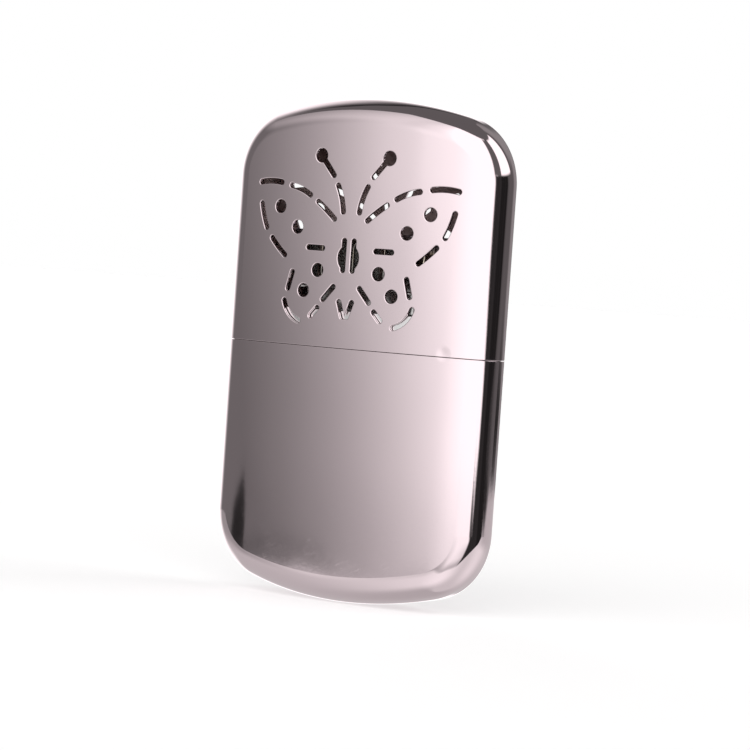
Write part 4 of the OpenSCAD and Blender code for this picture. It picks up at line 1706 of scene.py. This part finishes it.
class Room(Graph):
    """Node graph of the studio's brightness over azimuth and elevation, in degrees."""

    def __init__(self, tree):
        super().__init__(tree)
        self.nodes.clear()
        parts = self.node("ShaderNodeSeparateXYZ")
        self.feed(parts.inputs[0], self.node("ShaderNodeTexCoord").outputs["Generated"])
        x, y, z = parts.outputs
        self.azimuth = self.math("DEGREES", self.math("ARCTAN2", x, self.times(y, -1)))
        self.elevation = self.math("DEGREES", self.math("ARCSINE", z))

    def turning(self, name):
        return self.plus(*(self.step(self.azimuth, *row) for row in OVER_AZIMUTH[name]))

    def rising(self, name):
        return self.plus(*(self.step(self.elevation, *row) for row in OVER_ELEVATION[name]))

    def below(self, value, edge, soft):
        """1 where value is below edge, 0 above it."""
        return self.minus(1, self.step(value, edge - soft, edge + soft))

    def card(self, left, right, low, high, soft):
        return self.times(
            self.step(self.azimuth, left - soft, left + soft),
            self.below(self.azimuth, right, soft),
            self.step(self.elevation, low - soft, low + soft),
            self.below(self.elevation, high, soft))

    def hang(self, light, *names):
        for name in names:
            *edges, brightness = STUDIO[name]
            light = self.mix(self.card(*edges), light, brightness)
        return light

    def dimmed(self, light, mask, shade):
        return self.mix(mask, light, self.times(light, shade))

    def glow(self, start, reach):
        """Fall-off of the big light towards the left, which begins at azimuth start."""
        away = self.over(self.minus(self.azimuth, start), reach)
        return self.math("EXPONENT", self.math("MINIMUM", away, 0))

    def bell(self, centre, width, height):
        """Bell over the azimuth."""
        off = self.over(self.minus(self.azimuth, centre), width)
        return self.times(self.math("EXPONENT", self.times(off, off, -1)), height)

    def front(self):
        """The big light, whose glow reaches further to the left higher up."""
        low = self.mix(self.rising("glow_low"), self.glow(-8, 24), self.glow(-19, 23))
        glow = self.mix(self.rising("glow_high"), low, self.glow(-10, 55))
        dim = self.step(self.elevation, -5.7, -3, self.turning("front_low"), 0.87)
        dip = self.times(self.bell(-21, 5, 0.13), self.rising("dip"))
        light = self.times(glow, dim, self.turning("front_right"), self.minus(1, dip))
        return self.most(light, self.turning("front_least"))

    def ceiling_edge(self):
        """Elevation where the wall ends: arched over the side window, sloping beside it."""
        off = self.plus(self.azimuth, 112)
        arch = self.minus(60, self.over(self.times(off, off), 90))
        slope = self.times(self.plus(self.azimuth, 45), 0.66)
        slope = self.plus(self.math("MINIMUM", slope, 0), WALL_TOP)
        edge = self.mix(self.step(self.azimuth, -87, -84), arch, slope)
        return self.mix(self.turning("behind"), edge, WALL_TOP)

    def floor(self):
        """The floor, brightest in front and on the right, and dimmer straight below."""
        near = self.plus(self.bell(15, 42, 0.36), self.bell(115, 40, 0.25),
                         self.turning("floor_near"))
        down = self.times(self.elevation, -1)
        floor = self.mix(self.step(down, 9, 22), self.turning("floor_far"), near)
        return self.mix(self.step(down, 45, 75), floor, self.turning("floor_below"))

    def black_board(self):
        """Mask of a black board on the right; its foot rises to the right."""
        foot = self.minus(self.times(self.azimuth, 0.37), 51)
        steep = self.minus(self.times(self.azimuth, 0.75), 89.5)
        above = self.minus(self.elevation, self.most(foot, self.math("MINIMUM", steep, -4.8)))
        lean = self.times(self.math("MINIMUM", self.plus(self.elevation, 10), 0), 0.65)
        left = self.plus(lean, self.rising("board_left"))
        return self.times(
            self.step(above, -0.4, 0.4),
            self.step(self.minus(self.azimuth, left), -4, 4),
            self.below(self.minus(self.azimuth, self.rising("board_right")), 0, 3),
            self.below(self.elevation, 14.5, 1.5))

    def floor_line(self):
        """Mask of the dark line along the floor's far edge."""
        under = self.minus(self.turning("line_top"), self.elevation)
        return self.times(self.step(under, 0, 0.15), self.card(*FLOOR_LINE))

    def line_end(self):
        """Mask of the line's right end, which runs down across the floor."""
        off = self.minus(self.turning("line_end"), self.elevation)
        off = self.over(self.most(off, self.over(off, -2.2)), self.turning("line_end_width"))
        return self.times(self.below(off, 0.5, 0.5), self.card(*LINE_END))

    def dark_stand(self):
        """Mask of a narrow dark stand on the left, which tapers upwards."""
        return self.times(
            self.step(self.minus(self.azimuth, self.rising("stand_left")), -0.3, 0.3),
            self.step(self.minus(self.rising("stand_right"), self.azimuth), -0.2, 0.2),
            self.rising("stand_foot"),
            self.below(self.elevation, -4.15, 0.15))

    def streaks(self):
        """Fine upright lines of light and shade on the black board."""
        lines = self.node("ShaderNodeTexNoise", noise_dimensions="1D")
        for label, value in (("W", self.azimuth), ("Scale", 0.35), ("Detail", 3)):
            self.feed(lines.inputs[label], value)
        return self.step(lines.outputs[0], 0.32, 0.68, 0.7, 1.35)

    def brightness(self):
        turn = self.math("ABSOLUTE", self.azimuth)
        wall = self.plus(self.step(turn, 112, 134, DARK_WALL, SIDE_WALL),
                         self.step(turn, 150, 166, 0.0, WALL - SIDE_WALL))
        light = self.mix(self.card(*STUDIO["big_light"][:-1]), wall, self.front())
        light = self.hang(light, "dark_corner", "second_light", "dark_post")
        light = self.dimmed(light, self.floor_line(), self.turning("line_shade"))
        down = self.over(self.minus(self.turning("horizon"), self.elevation),
                         self.turning("horizon_softness"))
        light = self.mix(self.step(down, -0.25, 0.25), light, self.floor())
        light = self.dimmed(light, self.line_end(), LINE_END_SHADE)
        light = self.mix(self.dark_stand(), light, DEEP_BLACK)
        *edges, window = STUDIO["side_window"]
        opening = self.times(self.card(*edges), self.below(self.azimuth, *WINDOW_RIGHT))
        light = self.mix(opening, light, window)
        below_edge = self.minus(self.ceiling_edge(), self.elevation)
        shade = self.most(self.step(below_edge, 0, 28), self.turning("left_of_arch"),
                          self.turning("behind"))
        light = self.mix(shade, BLACK, light)
        light = self.mix(self.step(below_edge, -2, 0), CEILING, light)
        board = self.times(self.turning("board"), self.streaks())
        light = self.mix(self.black_board(), light, board)
        return self.hang(light, "thin_post", "thin_gap")


def studio_light(scene):
    """A soft-lit room; the camera sees a plain backdrop instead of it."""
    settings = scene.warmer_light
    world = bpy.data.worlds.new("studio")
    scene.world = world
    world.use_nodes = True
    room = Room(world.node_tree)
    shown = room.node("ShaderNodeBackground")
    room.feed(shown.inputs["Color"], (*settings.backdrop, 1))
    lit = room.node("ShaderNodeBackground")
    room.feed(lit.inputs["Color"], room.brightness())
    lit.inputs["Strength"].default_value = settings.strength
    both = room.node("ShaderNodeMixShader")
    room.feed(both.inputs[0], room.node("ShaderNodeLightPath").outputs["Is Camera Ray"])
    room.links.new(lit.outputs[0], both.inputs[1])
    room.links.new(shown.outputs[0], both.inputs[2])
    room.links.new(both.outputs[0], room.node("ShaderNodeOutputWorld").inputs["Surface"])


def pale_floor(scene):
    """A plain pale floor, which the metal doesn't mirror: the room's own floor does that."""
    mesh = bpy.data.meshes.new("floor")
    corners = ((-1, -1), (1, -1), (1, 1), (-1, 1))
    mesh.from_pydata(
        [(x * FLOOR_REACH, y * FLOOR_REACH, CAD_LOW.z - FLOOR_GAP) for x, y in corners],
        [], [(0, 1, 2, 3)])
    floor = bpy.data.objects.new("floor", mesh)
    scene.collection.objects.link(floor)
    floor.visible_glossy = False
    material = bpy.data.materials.new("floor_paper")
    material.use_nodes = True
    shader = material.node_tree.nodes["Principled BSDF"]
    shader.inputs["Base Color"].default_value = FLOOR_COLOUR
    shader.inputs["Roughness"].default_value = 1
    shader.inputs["Specular IOR Level"].default_value = 0
    shader.inputs["Emission Color"].default_value = (1, 1, 1, 1)
    shader.inputs["Emission Strength"].default_value = FLOOR_GLOW
    mesh.materials.append(material)


def photo_camera(scene):
    """The camera that the photograph was fitted with, rolled and aimed off the middle."""
    settings = scene.warmer_camera
    low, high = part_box("cap_shell")
    target = Vector((0, low.y, (CAD_LOW.z + CAD_HIGH.z) / 2))
    back = Vector((
        math.sin(settings.azimuth) * math.cos(settings.elevation),
        -math.cos(settings.azimuth) * math.cos(settings.elevation),
        math.sin(settings.elevation),
    ))
    place = target + back * settings.distance
    level = Vector((math.cos(settings.azimuth), math.sin(settings.azimuth), 0))
    upright = back.cross(level)
    turn = Matrix.Rotation(settings.roll, 3, back)
    right, up = turn @ level, turn @ upright
    aim = target + right * settings.aim_right + up * settings.aim_up
    back = (place - aim).normalized()
    right = up.cross(back).normalized()
    up = back.cross(right)
    data = bpy.data.cameras.new("photo_camera")
    data.lens = settings.lens
    data.sensor_width = SENSOR_MM
    data.clip_start, data.clip_end = 0.01, 50
    camera = bpy.data.objects.new("photo_camera", data)
    scene.collection.objects.link(camera)
    camera.matrix_world = Matrix.Translation(place) @ Matrix((
        (right.x, up.x, back.x), (right.y, up.y, back.y), (right.z, up.z, back.z))).to_4x4()
    scene.camera = camera


GROUPS = (
    ("warmer_case", CaseSizes),
    ("warmer_vents", VentSizes),
    ("warmer_tank", TankSizes),
    ("warmer_burner", BurnerSizes),
    ("warmer_finish", FinishColours),
    ("warmer_light", StudioLight),
    ("warmer_camera", CameraSettings),
)
OPERATORS = (
    WARMER_OT_case, WARMER_OT_collar, WARMER_OT_deck, WARMER_OT_neck, WARMER_OT_filling,
    WARMER_OT_skirt, WARMER_OT_cage, WARMER_OT_gauzes, WARMER_OT_catalyst, WARMER_OT_strap,
    WARMER_OT_rivets, WARMER_OT_stage,
)


class WARMER_PT_panel(bpy.types.Panel):
    """Lists the warmer's sizes and the steps that build it"""

    bl_label = "Hand Warmer"
    bl_idname = "WARMER_PT_panel"
    bl_space_type = "VIEW_3D"
    bl_region_type = "UI"
    bl_category = "Warmer"

    def draw(self, context):
        layout = self.layout
        for name, group in GROUPS:
            box = layout.box()
            box.label(text=group.__name__)
            values = getattr(context.scene, name)
            for key in group.__annotations__:
                box.prop(values, key)
        for operator in OPERATORS:
            layout.operator(operator.bl_idname)


def register():
    for name, group in GROUPS:
        bpy.utils.register_class(group)
        setattr(bpy.types.Scene, name, bpy.props.PointerProperty(type=group))
    for operator in OPERATORS:
        bpy.utils.register_class(operator)
    bpy.utils.register_class(WARMER_PT_panel)


def unregister():
    bpy.utils.unregister_class(WARMER_PT_panel)
    for operator in reversed(OPERATORS):
        bpy.utils.unregister_class(operator)
    for name, group in reversed(GROUPS):
        delattr(bpy.types.Scene, name)
        bpy.utils.unregister_class(group)


def main():
    register()
    for operator in OPERATORS:
        getattr(bpy.ops.warmer, operator.bl_idname.split(".")[1])()


if __name__ == "__main__":
    main()
